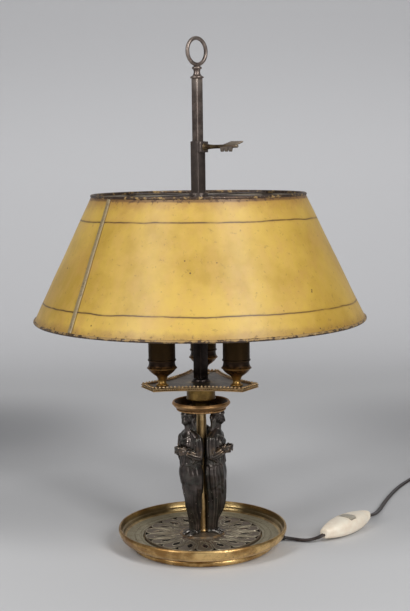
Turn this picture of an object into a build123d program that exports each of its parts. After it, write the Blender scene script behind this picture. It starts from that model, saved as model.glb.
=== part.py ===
from build123d import *
import math
import os

# A three-light bouillotte lamp: a brass tray with a pierced rosette, three bronze figures round a
# column, a triform plate with three candle cups, and a tole shade that slides on a square rod and
# is held by a clamping key. Millimetres and degrees, +Z up. The origin is the centre of the foot's
# underside, and -Y is the front.

os.makedirs("parts", exist_ok=True)

# ---- Heights above the table ----
TOTAL_HEIGHT = 580.0
WELL_BOTTOM = 6.4
WELL_FLOOR = 8.0
ROSETTE_SEAT = 9.0
TRAY_FLOOR = 12.2
ROSETTE_TOP = 14.2
PLINTH_TOP = 16.0
FIGURE_TOP = 160.2
DISH_FLOOR = 162.6
DISH_RIM = 170.3
PLATE_BOTTOM = 189.3
PLATE_WEB = 192.6
PLATE_RIM = 193.6
SLEEVE_BOTTOM = 196.0
SLEEVE_TOP = 464.9
ROD_TOP = 534.0
KEY_HEIGHT = 458.5

# ---- Base, column and plate ----
FOOT_R = 79.1
WELL_R = 64.5
ROSETTE_R = 67.6
PETALS = 18
OUTER_TURN = 2.0
INNER_TURN = 13.0
SLIT_SLANT = 8.0
COLUMN_R = 5.6
COLUMN_BORE = 3.8
NECK_R = 16.8
FIGURE_DIRECTIONS = {"left": 220.0, "right": 340.0, "back": 100.0}
CUP_DIRECTIONS = {"left": 206.0, "right": 326.0, "back": 86.0}
STUD_R = 1.5
STUD_REACH = 17.0
SHOULDER_R = 4.3
ELBOW_R = 4.4
HAND_R = 3.4
HEEL_R = 2.4
TOE_R = 1.4
LEG_R = 7.0
ANKLE_R = 4.0
PLATE_REACH = 67.2
PLATE_CORNER = 17.4
PLATE_HOLLOW_SIDE = 7.6
CUP_REACH = 48.3
NIPPLE_R = 3.0
STEM_FOOT_R = 6.6

# ---- Rod, sleeve and key ----
ROD_WIDTH = 9.0
SLEEVE_WIDTH = 12.0
SLEEVE_BORE = 9.3
ROD_TURN = 45.0
KEY_TURN = -45.0
KEY_SHANK_R = 2.0
BOSS_REACH = 10.5
BARB_STARTS = (35.0, 41.2, 47.4)
VANE_REACH = 10.4
VANE_HALF_THICKNESS = 0.9
VANE_TILT = 30.0
RING_R = 16.5
RING_WIRE_R = 2.15

# ---- Shade ----
SHADE_LOW = (186.0, 267.2)
SHADE_HIGH = (119.6, 405.5)
SHEET = 0.7
ROLL_R = 1.75
RIM_WIRE_R = 1.0
SEAM_TURN = 221.5
SEAM_SLANT = 4.8
ARM_TURNS = (45.0, 135.0, 225.0, 315.0)
ARM_HEIGHT = 404.2
ARM_THICKNESS = 1.5
ARM_GAP = 0.15
RIVET_DOWN = 9.6

# ---- Cord, switch and plug ----
CORD_R = 2.7
BUSHING_TURN = 3.6
BUSHING_HEIGHT = 4.4
BUSHING_END = 96.0
SWITCH_PLACE = (171.1, 35.45, 0.0)
SWITCH_TURN = 50.0
SWITCH_HALF = 46.5
SWITCH_AXIS = 9.5
SWITCH_SPLIT = 9.5
ROCKER_AXIS = 15.2
ROCKER_TILT = 8.0
ROCKER_HALF_WIDTH = 5.6
SCREW_PLACES = ((24.0, 5.2), (-24.0, -5.2))
CONTACT_PLACE = (11.0, 6.2, 6.2)
COIL_PLACE = (337.0, 270.0)
COIL_R = 29.7
COIL_HALF = 5.9
PLUG_PLACE = (360.5, 223.0, 6.6)
PLUG_TURN = -120.0
PLUG_FACE = 57.0
PLUG_HALF_WIDTH = 13.0
PLUG_HALF_THICKNESS = 6.4
PIN_OFFSET = 9.3

# The control points of the cord's route on the table, from the base to the switch, from the switch
# to the coil and from the coil to the plug.
TO_SWITCH = [
    (95.8, 6.0, 4.4),
    (106.5, 6.2, 3.2),
    (118.5, 1.5, 2.8),
    (130.5, -2.5, 5.6),
    (141.2, -0.2, 9.5),
]
TO_COIL = [
    (201.0, 71.1, 9.5),
    (210.0, 84.5, 6.6),
    (221.5, 111.5, 3.3),
    (232.0, 142.5, 2.8),
    (245.5, 178.5, 2.8),
    (261.0, 213.5, 2.8),
    (276.0, 241.5, 2.8),
    (290.0, 262.0, 2.8),
    (308.7, 293.8, 2.8),
]
TO_PLUG = [
    (374.0, 270.0, 2.8),
    (373.0, 252.5, 2.9),
    (368.0, 236.5, 4.2),
    (360.5, 223.0, 6.6),
]


def lathe(*stops):
    """A solid turned about Z from a closed outline of (radius, height) stops. A stop of four
    numbers is an arc: the point that it passes through, then its end. A list of stops is a smooth
    curve through them."""
    edges = []
    here = stops[0]
    for stop in stops[1:] + (stops[0],):
        if isinstance(stop, list):
            end = stop[-1]
            edges.append(Spline(here, *stop))
        elif len(stop) == 4:
            end = stop[2:]
            edges.append(ThreePointArc(here, stop[:2], end))
        else:
            end = stop
            edges.append(Line(here, end))
        here = end
    return revolve(Plane.XZ * make_face(edges), Axis.Z, 360)


def rod(radius, low, high, reach=0.0, turn=0.0):
    """An upright cylinder from low to high, at a distance and direction from the axis."""
    return turned(turn) * Pos(reach, 0, low) * Cylinder(
        radius, high - low, align=(Align.CENTER, Align.CENTER, Align.MIN)
    )


def box(width, depth, low, high):
    """An upright block centred on the axis."""
    return Pos(0, 0, low) * Box(
        width, depth, high - low, align=(Align.CENTER, Align.CENTER, Align.MIN)
    )


def turned(angle):
    return Rot(0, 0, angle)


def along(start, end):
    """The plane at start that faces end."""
    return Plane(origin=start, z_dir=Vector(*end) - Vector(*start))


def limb(start, end, start_r, end_r):
    """A tapered round limb with a ball at each end."""
    length = (Vector(*end) - Vector(*start)).length
    slant = math.sqrt(0.5)
    return along(start, end) * lathe(
        (0, -start_r),
        (start_r * slant, -start_r * slant, start_r, 0),
        (end_r, length),
        (end_r * slant, length + end_r * slant, 0, length + end_r),
    )


def lens(length, width):
    """A pointed oval with its long axis along X."""
    tip = length / 2
    return make_face(
        [
            ThreePointArc((-tip, 0), (0, width / 2), (tip, 0)),
            ThreePointArc((tip, 0), (0, -width / 2), (-tip, 0)),
        ]
    )


# ---- Base ----


def base_tray():
    tray = lathe(
        (FOOT_R, 0),
        (80.8, 1.0),
        (83.0, 4.2, 82.2, 7.2),
        (81.6, 8.0),
        (85.8, 8.8),
        (93.2, 12.2, 96.6, 18.4),
        (97.3, 21.6),
        (97.0, 23.2),
        (95.9, 23.8),
        (94.6, 23.3),
        (93.4, 17.6),
        (91.6, 16.8),
        (90.6, 14.4),
        (88.8, 13.4),
        (86.6, TRAY_FLOOR),
        (80.2, TRAY_FLOOR),
        (79.6, 11.7),
        (78.6, 11.7),
        (78.0, TRAY_FLOOR),
        (73.6, TRAY_FLOOR),
        (73.0, 11.7),
        (72.0, 11.7),
        (71.4, TRAY_FLOOR),
        (68.9, TRAY_FLOOR),
        (68.9, ROSETTE_SEAT),
        (WELL_R, ROSETTE_SEAT),
        (WELL_R, WELL_FLOOR),
        (COLUMN_R + 0.1, WELL_FLOOR),
        (COLUMN_R + 0.1, WELL_BOTTOM),
        (67.0, WELL_BOTTOM),
        (70.0, 8.6),
        (74.6, 8.6),
        (75.6, 0),
    )
    cord_hole = turned(BUSHING_TURN) * Pos(78, 0, BUSHING_HEIGHT) * Rot(0, 90, 0) * Cylinder(3.65, 14)
    return tray - cord_hole - stud_holes()


def stud_holes():
    """The three clearance holes for the studs under the figures."""
    holes = [
        rod(STUD_R + 0.1, WELL_BOTTOM - 1, PLINTH_TOP + 1, STUD_REACH, turn)
        for turn in FIGURE_DIRECTIONS.values()
    ]
    return holes[0] + holes[1] + holes[2]


def pierced_rosette():
    """A flat disc with two rings of openings between its petals."""
    openings = []
    step = 360 / PETALS
    corner = make_face(Polyline((59.6, 0), (65.6, -4.9), (66.2, 0), (65.6, 4.9), close=True))
    for k in range(PETALS):
        openings.append(turned(k * step + OUTER_TURN) * corner)
        openings.append(turned(k * step + INNER_TURN) * Pos(49.6, 0) * Rot(0, 0, SLIT_SLANT) * lens(13.0, 4.4))
    disc = Circle(ROSETTE_R) - Circle(COLUMN_R + 0.1) - openings
    solid = Pos(0, 0, ROSETTE_SEAT) * extrude(disc, ROSETTE_TOP - ROSETTE_SEAT)
    return chamfer(solid.edges().group_by(SortBy.LENGTH)[-1].sort_by(Axis.Z)[-1], 1.2) - stud_holes()


def figure_plinth():
    plinth = lathe(
        (COLUMN_R + 0.1, ROSETTE_TOP),
        (26.4, ROSETTE_TOP),
        (26.4, 14.7),
        (25.2, 15.1),
        (24.8, 15.6),
        (24.2, PLINTH_TOP),
        (COLUMN_R + 0.1, PLINTH_TOP),
    )
    return plinth - stud_holes()


def column_tube():
    tube = lathe(
        (COLUMN_BORE, 4.0), (COLUMN_R, 4.0), (COLUMN_R, 190.6), (COLUMN_BORE, 190.6)
    )
    for turn in CUP_DIRECTIONS.values():
        tube -= turned(turn) * Pos(COLUMN_R, 0, 182.0) * Rot(0, 90, 0) * Cylinder(1.3, 6)
    return tube


def base_nut():
    nut = extrude(RegularPolygon(8.0, 6) - Circle(COLUMN_R + 0.05), 2.4)
    return Pos(0, 0, WELL_BOTTOM - 2.4) * nut


def figure_nuts():
    nut = extrude(RegularPolygon(3.2, 6) - Circle(STUD_R + 0.05), 2.0)
    return Compound(
        children=[
            turned(turn) * Pos(STUD_REACH, 0, WELL_BOTTOM - 2.0) * nut
            for turn in FIGURE_DIRECTIONS.values()
        ]
    )


# ---- Figures ----


def figure_body():
    """The draped body, from the hem to the neck, facing +X. Each row is a height, the distance of
    the middle from the axis, the half depth and the half width."""
    rows = [
        (18.0, 12.6, 6.2, 6.2),
        (31.0, 12.8, 6.6, 7.2),
        (46.0, 14.4, 8.2, 9.2),
        (58.0, 15.9, 9.6, 10.4),
        (70.0, 17.0, 10.7, 12.5),
        (88.0, 17.6, 11.3, 15.0),
        (101.0, 17.3, 10.9, 13.6),
        (117.0, 17.3, 10.2, 12.2),
        (128.0, 17.4, 9.6, 12.8),
        (134.0, 17.9, 7.0, 9.8),
        (139.5, 18.9, 4.2, 4.8),
        (149.0, 20.2, 3.9, 4.1),
    ]
    return loft([Pos(middle, 0, z) * Ellipse(depth, width) for z, middle, depth, width in rows])


def figure_head():
    """A plain egg of a head under a rolled cap that meets the dish."""
    head = limb((22.4, 0, 148.6), (21.6, 0, 153.4), 4.1, 5.2)
    cap = Pos(20.2, 0, 154.6) * Sphere(7.0)
    return (head + cap) - box(80, 80, FIGURE_TOP, FIGURE_TOP + 20)


def figure(direction):
    """One standing figure with bent arms and clasped hands, its back to the column."""
    shape = figure_body() + figure_head()
    for side in (-1, 1):
        shoulder = (16.8, 12.9 * side, 129.2)
        elbow = (17.0, 14.2 * side, 109.0)
        hand = (32.0, 2.8 * side, 116.4)
        heel, toe = (11.5, 3.4 * side, 17.8), (21.8, 4.6 * side, 16.9)
        shape += limb(shoulder, elbow, SHOULDER_R, ELBOW_R)
        shape += limb(elbow, hand, ELBOW_R, HAND_R)
        shape += limb(heel, toe, HEEL_R, TOE_R)
    shape += limb((20.0, 4.4, 59.0), (13.2, 3.6, 27.0), LEG_R, ANKLE_R)
    stud = rod(STUD_R, 4.3, 22.0, STUD_REACH)
    ground = box(80, 80, PLINTH_TOP - 4, PLINTH_TOP) - stud
    shape += stud
    return turned(direction) * (shape - ground)


# ---- Capital, neck and plate ----


def capital_dish():
    return lathe(
        (COLUMN_R + 0.1, FIGURE_TOP),
        (27.0, FIGURE_TOP),
        (28.4, 161.3, 27.6, 162.5),
        (30.0, 164.0, 32.4, 166.4),
        (33.3, 167.4),
        (33.3, 168.4),
        (32.4, 169.8),
        (31.2, DISH_RIM),
        (29.8, 168.6),
        (27.6, 165.0),
        (25.0, DISH_FLOOR),
        (COLUMN_R + 0.1, DISH_FLOOR),
    )


def neck_collar():
    """A hollow collar with a waisted foot, which carries the plate."""
    return lathe(
        (8.4, DISH_FLOOR),
        (10.4, DISH_FLOOR),
        (10.0, 167.4),
        (11.3, 170.8, 15.6, 172.2),
        (NECK_R, 173.0),
        (NECK_R, PLATE_BOTTOM),
        (14.5, PLATE_BOTTOM),
        (14.5, 175.6),
        (9.4, 173.0, 8.4, 168.0),
    )


def plate_outline(inset=0.0):
    """A triangle with cut corners and hollow sides, inset all round."""
    reach, half = PLATE_REACH - inset, PLATE_CORNER - 0.9 * inset
    corners = []
    for turn in CUP_DIRECTIONS.values():
        out = Vector(1, 0).rotate(Axis.Z, turn)
        side = Vector(0, 1).rotate(Axis.Z, turn)
        corners.append((out * reach - side * half, out * reach + side * half))
    edges = []
    for k, (first, last) in enumerate(corners):
        nearest = corners[(k + 1) % 3][0]
        middle = (last + nearest) / 2
        hollow = middle - middle.normalized() * PLATE_HOLLOW_SIDE
        edges += [Line(first, last), ThreePointArc(last, hollow, nearest)]
    return make_face(edges)


def triform_plate():
    """The plate: a sunk web inside a raised border, hollow underneath for the leads."""
    plate = Pos(0, 0, PLATE_BOTTOM) * extrude(plate_outline(), PLATE_RIM - PLATE_BOTTOM)
    plate -= Pos(0, 0, PLATE_WEB) * extrude(plate_outline(5.5), 5)
    plate -= Pos(0, 0, PLATE_BOTTOM) * extrude(plate_outline(3.0), 2.1)
    ring = rod(NECK_R, PLATE_BOTTOM + 0.6, PLATE_WEB - 1.0) - rod(13.6, 180, 200)
    for turn in CUP_DIRECTIONS.values():
        ring -= turned(turn) * Pos(15, 0, 190.6) * Box(8, 4, 1.6)
        boss = rod(6.0, PLATE_BOTTOM + 0.6, PLATE_WEB - 1.0, CUP_REACH, turn)
        plate += boss - turned(turn) * Pos(CUP_REACH - 4, 0, 190.6) * Box(8, 2.4, 1.6)
    plate += ring
    for turn in CUP_DIRECTIONS.values():
        plate -= rod(NIPPLE_R + 0.05, 180, 200, CUP_REACH, turn)
    return plate - rod(STEM_FOOT_R + 0.1, 180, 200)


def plate_cover():
    """The thin sheet that closes the plate's hollow underside."""
    sheet = Pos(0, 0, PLATE_BOTTOM) * extrude(plate_outline(3.15), 0.55)
    return sheet - rod(13.0, 180, 200)


def cup_nipples():
    """The threaded tubes that fasten each cup to the plate and carry its lead."""
    tube = rod(NIPPLE_R, 190.0, 224.0) - rod(1.8, 180, 230)
    return Compound(
        children=[turned(turn) * Pos(CUP_REACH, 0, 0) * tube for turn in CUP_DIRECTIONS.values()]
    )


def candle_cup():
    bore = NIPPLE_R + 0.05
    return lathe(
        (bore, PLATE_WEB),
        (6.9, PLATE_WEB),
        (6.9, 193.8),
        (5.2, 194.8),
        (4.3, 197.0, 5.2, 200.4),
        (6.4, 203.2),
        (10.6, 206.2),
        (15.8, 211.6),
        (17.0, 213.0),
        (16.2, 214.6),
        (14.9, 217.6, 14.9, 220.6),
        (15.8, 221.4),
        (15.8, 222.8),
        (15.1, 223.4),
        (15.1, 246.6),
        (15.9, 247.2),
        (15.9, 248.4),
        (13.8, 248.4),
        (13.8, 216.0),
        (bore, 216.0),
    )


def lampholder():
    """A candle lampholder: a stem on the nipple and a threaded shell for the bulb's cap."""
    bore = NIPPLE_R + 0.05
    return lathe(
        (bore, 216.2),
        (6.0, 216.2),
        (6.0, 252.0),
        (10.6, 256.0),
        (10.6, 288.0),
        (7.4, 288.0),
        (7.4, 262.0),
        (bore, 262.0),
    )


def candle_sleeve():
    return rod(12.2, 216.2, 290.0) - rod(11.2, 210, 300)


def bulb_cap():
    """The screw cap of a bulb, with its contact."""
    return lathe(
        (0, 263.0),
        (2.4, 263.0),
        (4.0, 265.0),
        (6.9, 266.6),
        (6.9, 289.0),
        (6.2, 291.0),
        (0, 291.0),
    )


def bulb_glass():
    """A blown candle bulb, open at its neck."""
    return lathe(
        (6.3, 291.0),
        (6.6, 294.0),
        [(13.6, 303.0), (17.4, 319.0), (13.4, 345.0), (5.6, 364.0), (2.2, 370.0)],
        (0, 371.2),
        (0, 370.4),
        (1.7, 369.4),
        [(4.8, 363.6), (12.6, 344.8), (16.6, 319.0), (13.0, 303.6), (5.8, 294.2)],
        (5.5, 291.0),
    )


def at_cup(solid, turn):
    return turned(turn) * Pos(CUP_REACH, 0, 0) * solid


# ---- Rod, finial and leads ----


def stem_foot():
    """The foot that joins the rod to the top of the column and clamps the plate."""
    return lathe(
        (COLUMN_R + 0.05, 186.0),
        (STEM_FOOT_R, 186.0),
        (STEM_FOOT_R, PLATE_WEB),
        (10.6, PLATE_WEB),
        (10.6, 193.4),
        (9.2, 194.4),
        (9.0, SLEEVE_BOTTOM - 0.4),
        (3.5, SLEEVE_BOTTOM - 0.4),
        (3.5, 190.7),
        (COLUMN_R + 0.05, 190.7),
    )


def stem_rod():
    low = SLEEVE_BOTTOM - 0.4
    bar = turned(ROD_TURN) * box(ROD_WIDTH, ROD_WIDTH, low, ROD_TOP)
    return bar + rod(3.45, 191.2, low) - rod(3.0, ROD_TOP - 8, ROD_TOP + 1)


def ring_finial():
    """A turned neck with a lifting ring, square to the rod's faces."""
    neck = lathe(
        (0, ROD_TOP - 7.6),
        (2.95, ROD_TOP - 7.6),
        (2.95, ROD_TOP),
        (6.6, ROD_TOP),
        (7.5, ROD_TOP + 0.9),
        (6.4, ROD_TOP + 2.4),
        (4.6, ROD_TOP + 3.6),
        (3.6, ROD_TOP + 7.0, 4.3, ROD_TOP + 9.8),
        (5.3, ROD_TOP + 11.2),
        (4.6, ROD_TOP + 13.0),
        (2.6, ROD_TOP + 14.4),
        (0, ROD_TOP + 14.4),
    )
    centre = TOTAL_HEIGHT - RING_R
    ring = Pos(0, 0, centre) * turned(KEY_TURN) * Rot(0, 90, 0) * Torus(RING_R - RING_WIRE_R, RING_WIRE_R)
    return neck + ring


def tube_along(points, radius, radii=None):
    """A round tube along straight runs that are joined by tangent arcs."""
    if radii is None:
        radii = arc_radii(points)
    path = FilletPolyline(*points, radius=radii)
    section = Plane(origin=path @ 0, z_dir=path % 0) * Circle(radius)
    solid = sweep(section, path=path)
    ratio = solid.volume / (math.pi * radius**2 * path.length)
    print(f"tube of {len(points)} points: length {path.length:.1f}, volume ratio {ratio:.4f}")
    return solid


def arc_radii(points):
    """The largest radius that each corner's two runs allow."""
    radii = []
    for before, here, after in zip(points, points[1:], points[2:]):
        first, second = Vector(*here) - Vector(*before), Vector(*after) - Vector(*here)
        half_turn = math.radians(first.get_angle(second) / 2)
        radii.append(0.45 * min(first.length, second.length) / math.tan(half_turn))
    print("radii", [round(r, 1) for r in radii])
    return radii


def inner_lead():
    """The twin lead from the cord's bushing, under the well and up the column."""
    start = Vector(73.0, 0, BUSHING_HEIGHT).rotate(Axis.Z, BUSHING_TURN)
    points = [tuple(start), (6.5, 0.4, 2.0), (0, 0, 2.2), (0, 0, 178.0)]
    return tube_along(points, 1.3, [40.0, 3.4])


def branch_leads():
    """The single leads from the column's side holes, through the plate, to the cups."""
    points = [(3.2, 0, 182.0), (9.6, 0, 182.0), (11.6, 0, 190.55), (CUP_REACH - 3.4, 0, 190.55)]
    lead = tube_along(points, 0.5, [1.6, 3.0])
    return Compound(children=[turned(turn) * lead for turn in CUP_DIRECTIONS.values()])


# ---- Slide, shade and key ----


def slide_sleeve():
    outer = turned(ROD_TURN) * box(SLEEVE_WIDTH, SLEEVE_WIDTH, SLEEVE_BOTTOM, SLEEVE_TOP)
    inner = turned(ROD_TURN) * box(SLEEVE_BORE, SLEEVE_BORE, SLEEVE_BOTTOM - 1, SLEEVE_TOP + 1)
    return outer - inner - key_hole()


def key_frame(distance=0.0):
    """The place on the key's axis at a distance from the rod's, with +X along it."""
    return Pos(0, 0, KEY_HEIGHT) * turned(KEY_TURN) * Pos(distance, 0, 0)


def key_hole():
    return key_frame(7.5) * Rot(0, 90, 0) * Cylinder(KEY_SHANK_R + 0.06, 9)


def key_boss():
    low = SLEEVE_WIDTH / 2
    block = key_frame((low + BOSS_REACH) / 2) * Box(BOSS_REACH - low, 12.0, 12.4)
    return chamfer(block.edges().filter_by(Axis.Z), 0.6) - key_hole()


def key_screw():
    """A threaded shank with a trumpet-shaped arrow shaft."""
    shaft = lathe(
        (0, 4.56),
        (KEY_SHANK_R - 0.5, 4.56),
        (KEY_SHANK_R, 5.1),
        (KEY_SHANK_R, BOSS_REACH + 0.3),
        (4.2, BOSS_REACH + 0.3),
        (4.2, BOSS_REACH + 1.1),
        (2.5, 21.0, 2.2, 36.0),
        (1.7, 60.0),
        (0, 61.5),
    )
    return key_frame() * Rot(0, 90, 0) * shaft


def key_fletching():
    """The two barbed vanes at the end of the arrow shaft."""
    root, tip = 1.2, VANE_REACH
    barbs = [
        make_face(
            Polyline((start, root), (start + 8.6, tip), (start + 14.2, tip), (start + 8.4, root), close=True)
        )
        for start in BARB_STARTS
    ]
    plate = extrude(barbs[0] + barbs[1:], VANE_HALF_THICKNESS, both=True)
    plate += mirror(plate, Plane.XZ)
    core = Rot(0, 90, 0) * lathe((0, 4.0), (2.24, 4.0), (2.24, 36.0), (1.74, 60.0), (0, 61.6))
    return key_frame() * Rot(VANE_TILT, 0, 0) * (plate - core)


def shade_slope():
    """The unit vectors along the sheet, downwards, and square to it, outwards."""
    run, fall = SHADE_LOW[0] - SHADE_HIGH[0], SHADE_LOW[1] - SHADE_HIGH[1]
    length = math.hypot(run, fall)
    return (run / length, fall / length), (-fall / length, run / length)


def shade_point(down, out):
    """A point of the shade's section: a distance down the sheet from the top rim, and outwards."""
    (ax, az), (nx, nz) = shade_slope()
    return SHADE_HIGH[0] + ax * down + nx * out, SHADE_HIGH[1] + az * down + nz * out


def shade_length():
    return math.dist(SHADE_LOW, SHADE_HIGH)


def shade_cone():
    """The sheet with its rolled rims, its lapped seam and the holes for the spider's rivets."""
    half, length = SHEET / 2, shade_length()
    ends = (1.35, length - 1.35)
    section = make_face(
        Polyline(
            shade_point(ends[0], half),
            shade_point(ends[1], half),
            shade_point(ends[1], -half),
            shade_point(ends[0], -half),
            close=True,
        )
    )
    for centre in (SHADE_LOW, SHADE_HIGH):
        section += Pos(*centre) * Circle(ROLL_R)
    for centre in (SHADE_LOW, SHADE_HIGH):
        section -= Pos(*centre) * Circle(RIM_WIRE_R + 0.05)
    cone = revolve(Plane.XZ * section, Axis.Z, 360)
    strip = make_face(
        Polyline(
            shade_point(2.0, -0.1),
            shade_point(length - 2.0, -0.1),
            shade_point(length - 2.0, 1.2),
            shade_point(2.0, 1.2),
            close=True,
        )
    )
    (x, z), (nx, nz) = shade_point(length / 2, 0), shade_slope()[1]
    lap = extrude(Plane.XZ * strip, 2.6, both=True).rotate(Axis((x, 0, z), (nx, 0, nz)), SEAM_SLANT)
    cone += turned(SEAM_TURN) * lap
    for turn in ARM_TURNS:
        cone -= turned(turn) * rivet_hole()
    return cone


def rim_wire(centre):
    return Pos(0, 0, centre[1]) * Torus(centre[0], RIM_WIRE_R)


def rivet_frame():
    """The plane of a spider arm's rivet: on the sheet's inner face, looking outwards."""
    (x, z), (nx, nz) = shade_point(RIVET_DOWN, -SHEET / 2), shade_slope()[1]
    return Plane(origin=(x, 0, z), z_dir=(nx, 0, nz))


def rivet_hole():
    return rivet_frame() * Cylinder(1.15, 8)


def spider_collar():
    disc = rod(11.0, ARM_HEIGHT - 2.2, ARM_HEIGHT + 3.2)
    bore = turned(ROD_TURN) * box(SLEEVE_WIDTH + 0.1, SLEEVE_WIDTH + 0.1, 300, 500)
    for turn in ARM_TURNS:
        disc -= turned(turn) * Pos(11, 0, ARM_HEIGHT + 0.8) * Box(3.0, 8.2, 1.7)
    return disc - bore


def spider_arm(turn):
    """A flat arm from the collar to the sheet, its end bent down along the sheet."""
    high = ARM_HEIGHT + ARM_THICKNESS
    outer = -SHEET / 2 - ARM_GAP
    inner = outer - ARM_THICKNESS
    section = make_face(
        Polyline(
            (9.6, high),
            (106.0, high),
            shade_point(4.5, outer),
            shade_point(14.0, outer),
            shade_point(14.0, inner),
            shade_point(6.2, inner),
            (105.4, ARM_HEIGHT),
            (9.6, ARM_HEIGHT),
            close=True,
        )
    )
    arm = extrude(Plane.XZ * section, 4.0, both=True)
    return turned(turn) * (arm - rivet_hole())


def spider_rivets():
    """Four rivets, each with a head on both sides of the sheet."""
    grip = ARM_GAP + ARM_THICKNESS
    shank = Pos(0, 0, (SHEET - grip) / 2) * Cylinder(1.1, SHEET + grip + 0.2)
    outer = Pos(0, 0, SHEET + 0.25) * Cylinder(1.7, 0.5)
    inner = Pos(0, 0, -grip - 0.45) * Cylinder(2.3, 0.8)
    rivet = rivet_frame() * (shank + outer + inner)
    return Compound(children=[turned(turn) * rivet for turn in ARM_TURNS])


# ---- Cord, switch and plug ----


def cord_bushing():
    """A tapered sleeve in the foot's wall that the cord comes out of."""
    sleeve = lathe(
        (0, 73.2),
        (3.4, 73.2),
        (3.6, 74.0),
        (3.6, 83.4),
        (3.9, 83.5),
        (3.9, 85.0),
        (3.0, BUSHING_END),
        (0, BUSHING_END),
    )
    return turned(BUSHING_TURN) * Pos(0, 0, BUSHING_HEIGHT) * Rot(0, 90, 0) * sleeve


def switch_frame():
    return Pos(*SWITCH_PLACE) * turned(SWITCH_TURN)


def olive(half_length, inset):
    """The switch's long rounded body with flat ends, inset all round."""
    rows = [(0.0, 30.0, 20.6), (0.36, 27.6, 19.4), (0.7, 20.4, 16.0), (1.0, 11.2, 11.2)]
    sections = []
    for share, width, height in rows[::-1] + rows[1:]:
        side = -1 if len(sections) < 3 else 1
        width, height = width - 2 * inset, height - 2 * inset
        plane = Plane(origin=(side * share * half_length, 0, 0), x_dir=(0, 1, 0), z_dir=(1, 0, 0))
        sections.append(plane * RectangleRounded(width, height, 0.42 * min(width, height)))
    return Pos(0, 0, 10.4) * loft(sections)


def switch_shell():
    """The whole hollow casing, before it is split, with a bore for the cord at each end."""
    shell = olive(SWITCH_HALF, 0) - olive(SWITCH_HALF - 4.0, 2.0)
    return shell - Pos(0, 0, SWITCH_AXIS) * Rot(0, 90, 0) * Cylinder(CORD_R + 0.1, 200)


def switch_lower():
    half = switch_shell() & box(120, 60, -5, SWITCH_SPLIT)
    for x, y in SCREW_PLACES:
        half += Pos(x, y, 0) * (rod(3.4, 3.4, SWITCH_SPLIT))
        half -= Pos(x, y, 0) * (rod(1.3, -5, 40) + rod(2.5, -5, 4.4))
    return switch_frame() * half


def switch_upper():
    half = switch_shell() & box(120, 60, SWITCH_SPLIT, 40)
    window = Pos(0, 0, 20) * Box(11.8, 25.0, 14)
    half -= window
    for side in (-1, 1):
        half += Pos(side * 7.4, 0, 16.2) * Box(2.6, 6.0, 7.2)
    for x, y in SCREW_PLACES:
        half += Pos(x, y, 0) * rod(2.8, SWITCH_SPLIT, 17.6)
        half -= Pos(x, y, 0) * rod(1.15, -5, 13.6)
    return switch_frame() * (half - Pos(0, 0, ROCKER_AXIS) * Rot(0, 90, 0) * Cylinder(1.04, 17.2))


def switch_screws():
    screw = rod(1.1, 4.4, 13.0) + rod(2.4, 2.6, 4.4)
    return switch_frame() * Compound(children=[Pos(x, y, 0) * screw for x, y in SCREW_PLACES])


def switch_contacts():
    """The two terminal blocks, one for each broken wire end."""
    x, y, z = CONTACT_PLACE
    block = Box(9.0, 5.0, 5.0) - Cylinder(1.2, 6)
    blocks = [Pos(side * x, -side * y, z) * block for side in (-1, 1)]
    return switch_frame() * Compound(children=blocks)


def rocker_frame():
    return switch_frame() * Pos(0, 0, ROCKER_AXIS)


def switch_rocker():
    """The rocker across the switch, resting with its front end up."""
    outline = make_face(
        [
            Line((-10.8, 0.4), (-10.8, 4.6)),
            ThreePointArc((-10.8, 4.6), (0, 6.4), (10.8, 4.6)),
            Line((10.8, 4.6), (10.8, 0.4)),
            Line((10.8, 0.4), (3.0, -2.6)),
            Line((3.0, -2.6), (-3.0, -2.6)),
            Line((-3.0, -2.6), (-10.8, 0.4)),
        ]
    )
    plane = Plane(origin=(0, 0, 0), x_dir=(0, 1, 0), z_dir=(1, 0, 0))
    body = extrude(plane * outline, ROCKER_HALF_WIDTH, both=True)
    body -= Rot(0, 90, 0) * Cylinder(1.08, 30)
    return rocker_frame() * Rot(-ROCKER_TILT, 0, 0) * body


def rocker_pin():
    return rocker_frame() * Rot(0, 90, 0) * Cylinder(1.0, 16.8)


def flex_coil():
    """The closed outer shape of the wound cord."""
    section = Pos(COIL_R, COIL_HALF + 0.2) * RectangleRounded(2 * COIL_HALF, 2 * COIL_HALF, 2.0)
    return Pos(*COIL_PLACE, 0) * revolve(Plane.XZ * section, Axis.Z, 360)


def plug_frame():
    return Pos(*PLUG_PLACE) * turned(PLUG_TURN)


def plug_body():
    """A flat two-pin plug with its moulded strain relief, pointing along +X."""
    half, face = PLUG_HALF_WIDTH, PLUG_FACE
    outline = make_face(
        Polyline((18, -7), (28, -half), (face, -half), (face, half), (28, half), (18, 7), close=True)
    )
    body = extrude(outline, PLUG_HALF_THICKNESS, both=True)
    body = fillet(body.edges().filter_by(Axis.Z), 2.4)
    relief = Rot(0, 90, 0) * lathe((0, 0), (3.6, 0), (5.6, 20.0), (0, 20.0))
    return plug_frame() * (body + relief)


def plug_pins():
    pin = Pos(PLUG_FACE, 0, 0) * Rot(0, 90, 0) * lathe((0, 0), (2.0, 0), (2.0, 18.0), (1.2, 19.0), (0, 19.0))
    return plug_frame() * Compound(children=[Pos(0, side * PIN_OFFSET, 0) * pin for side in (-1, 1)])


# ---- Every node, by name ----


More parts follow.
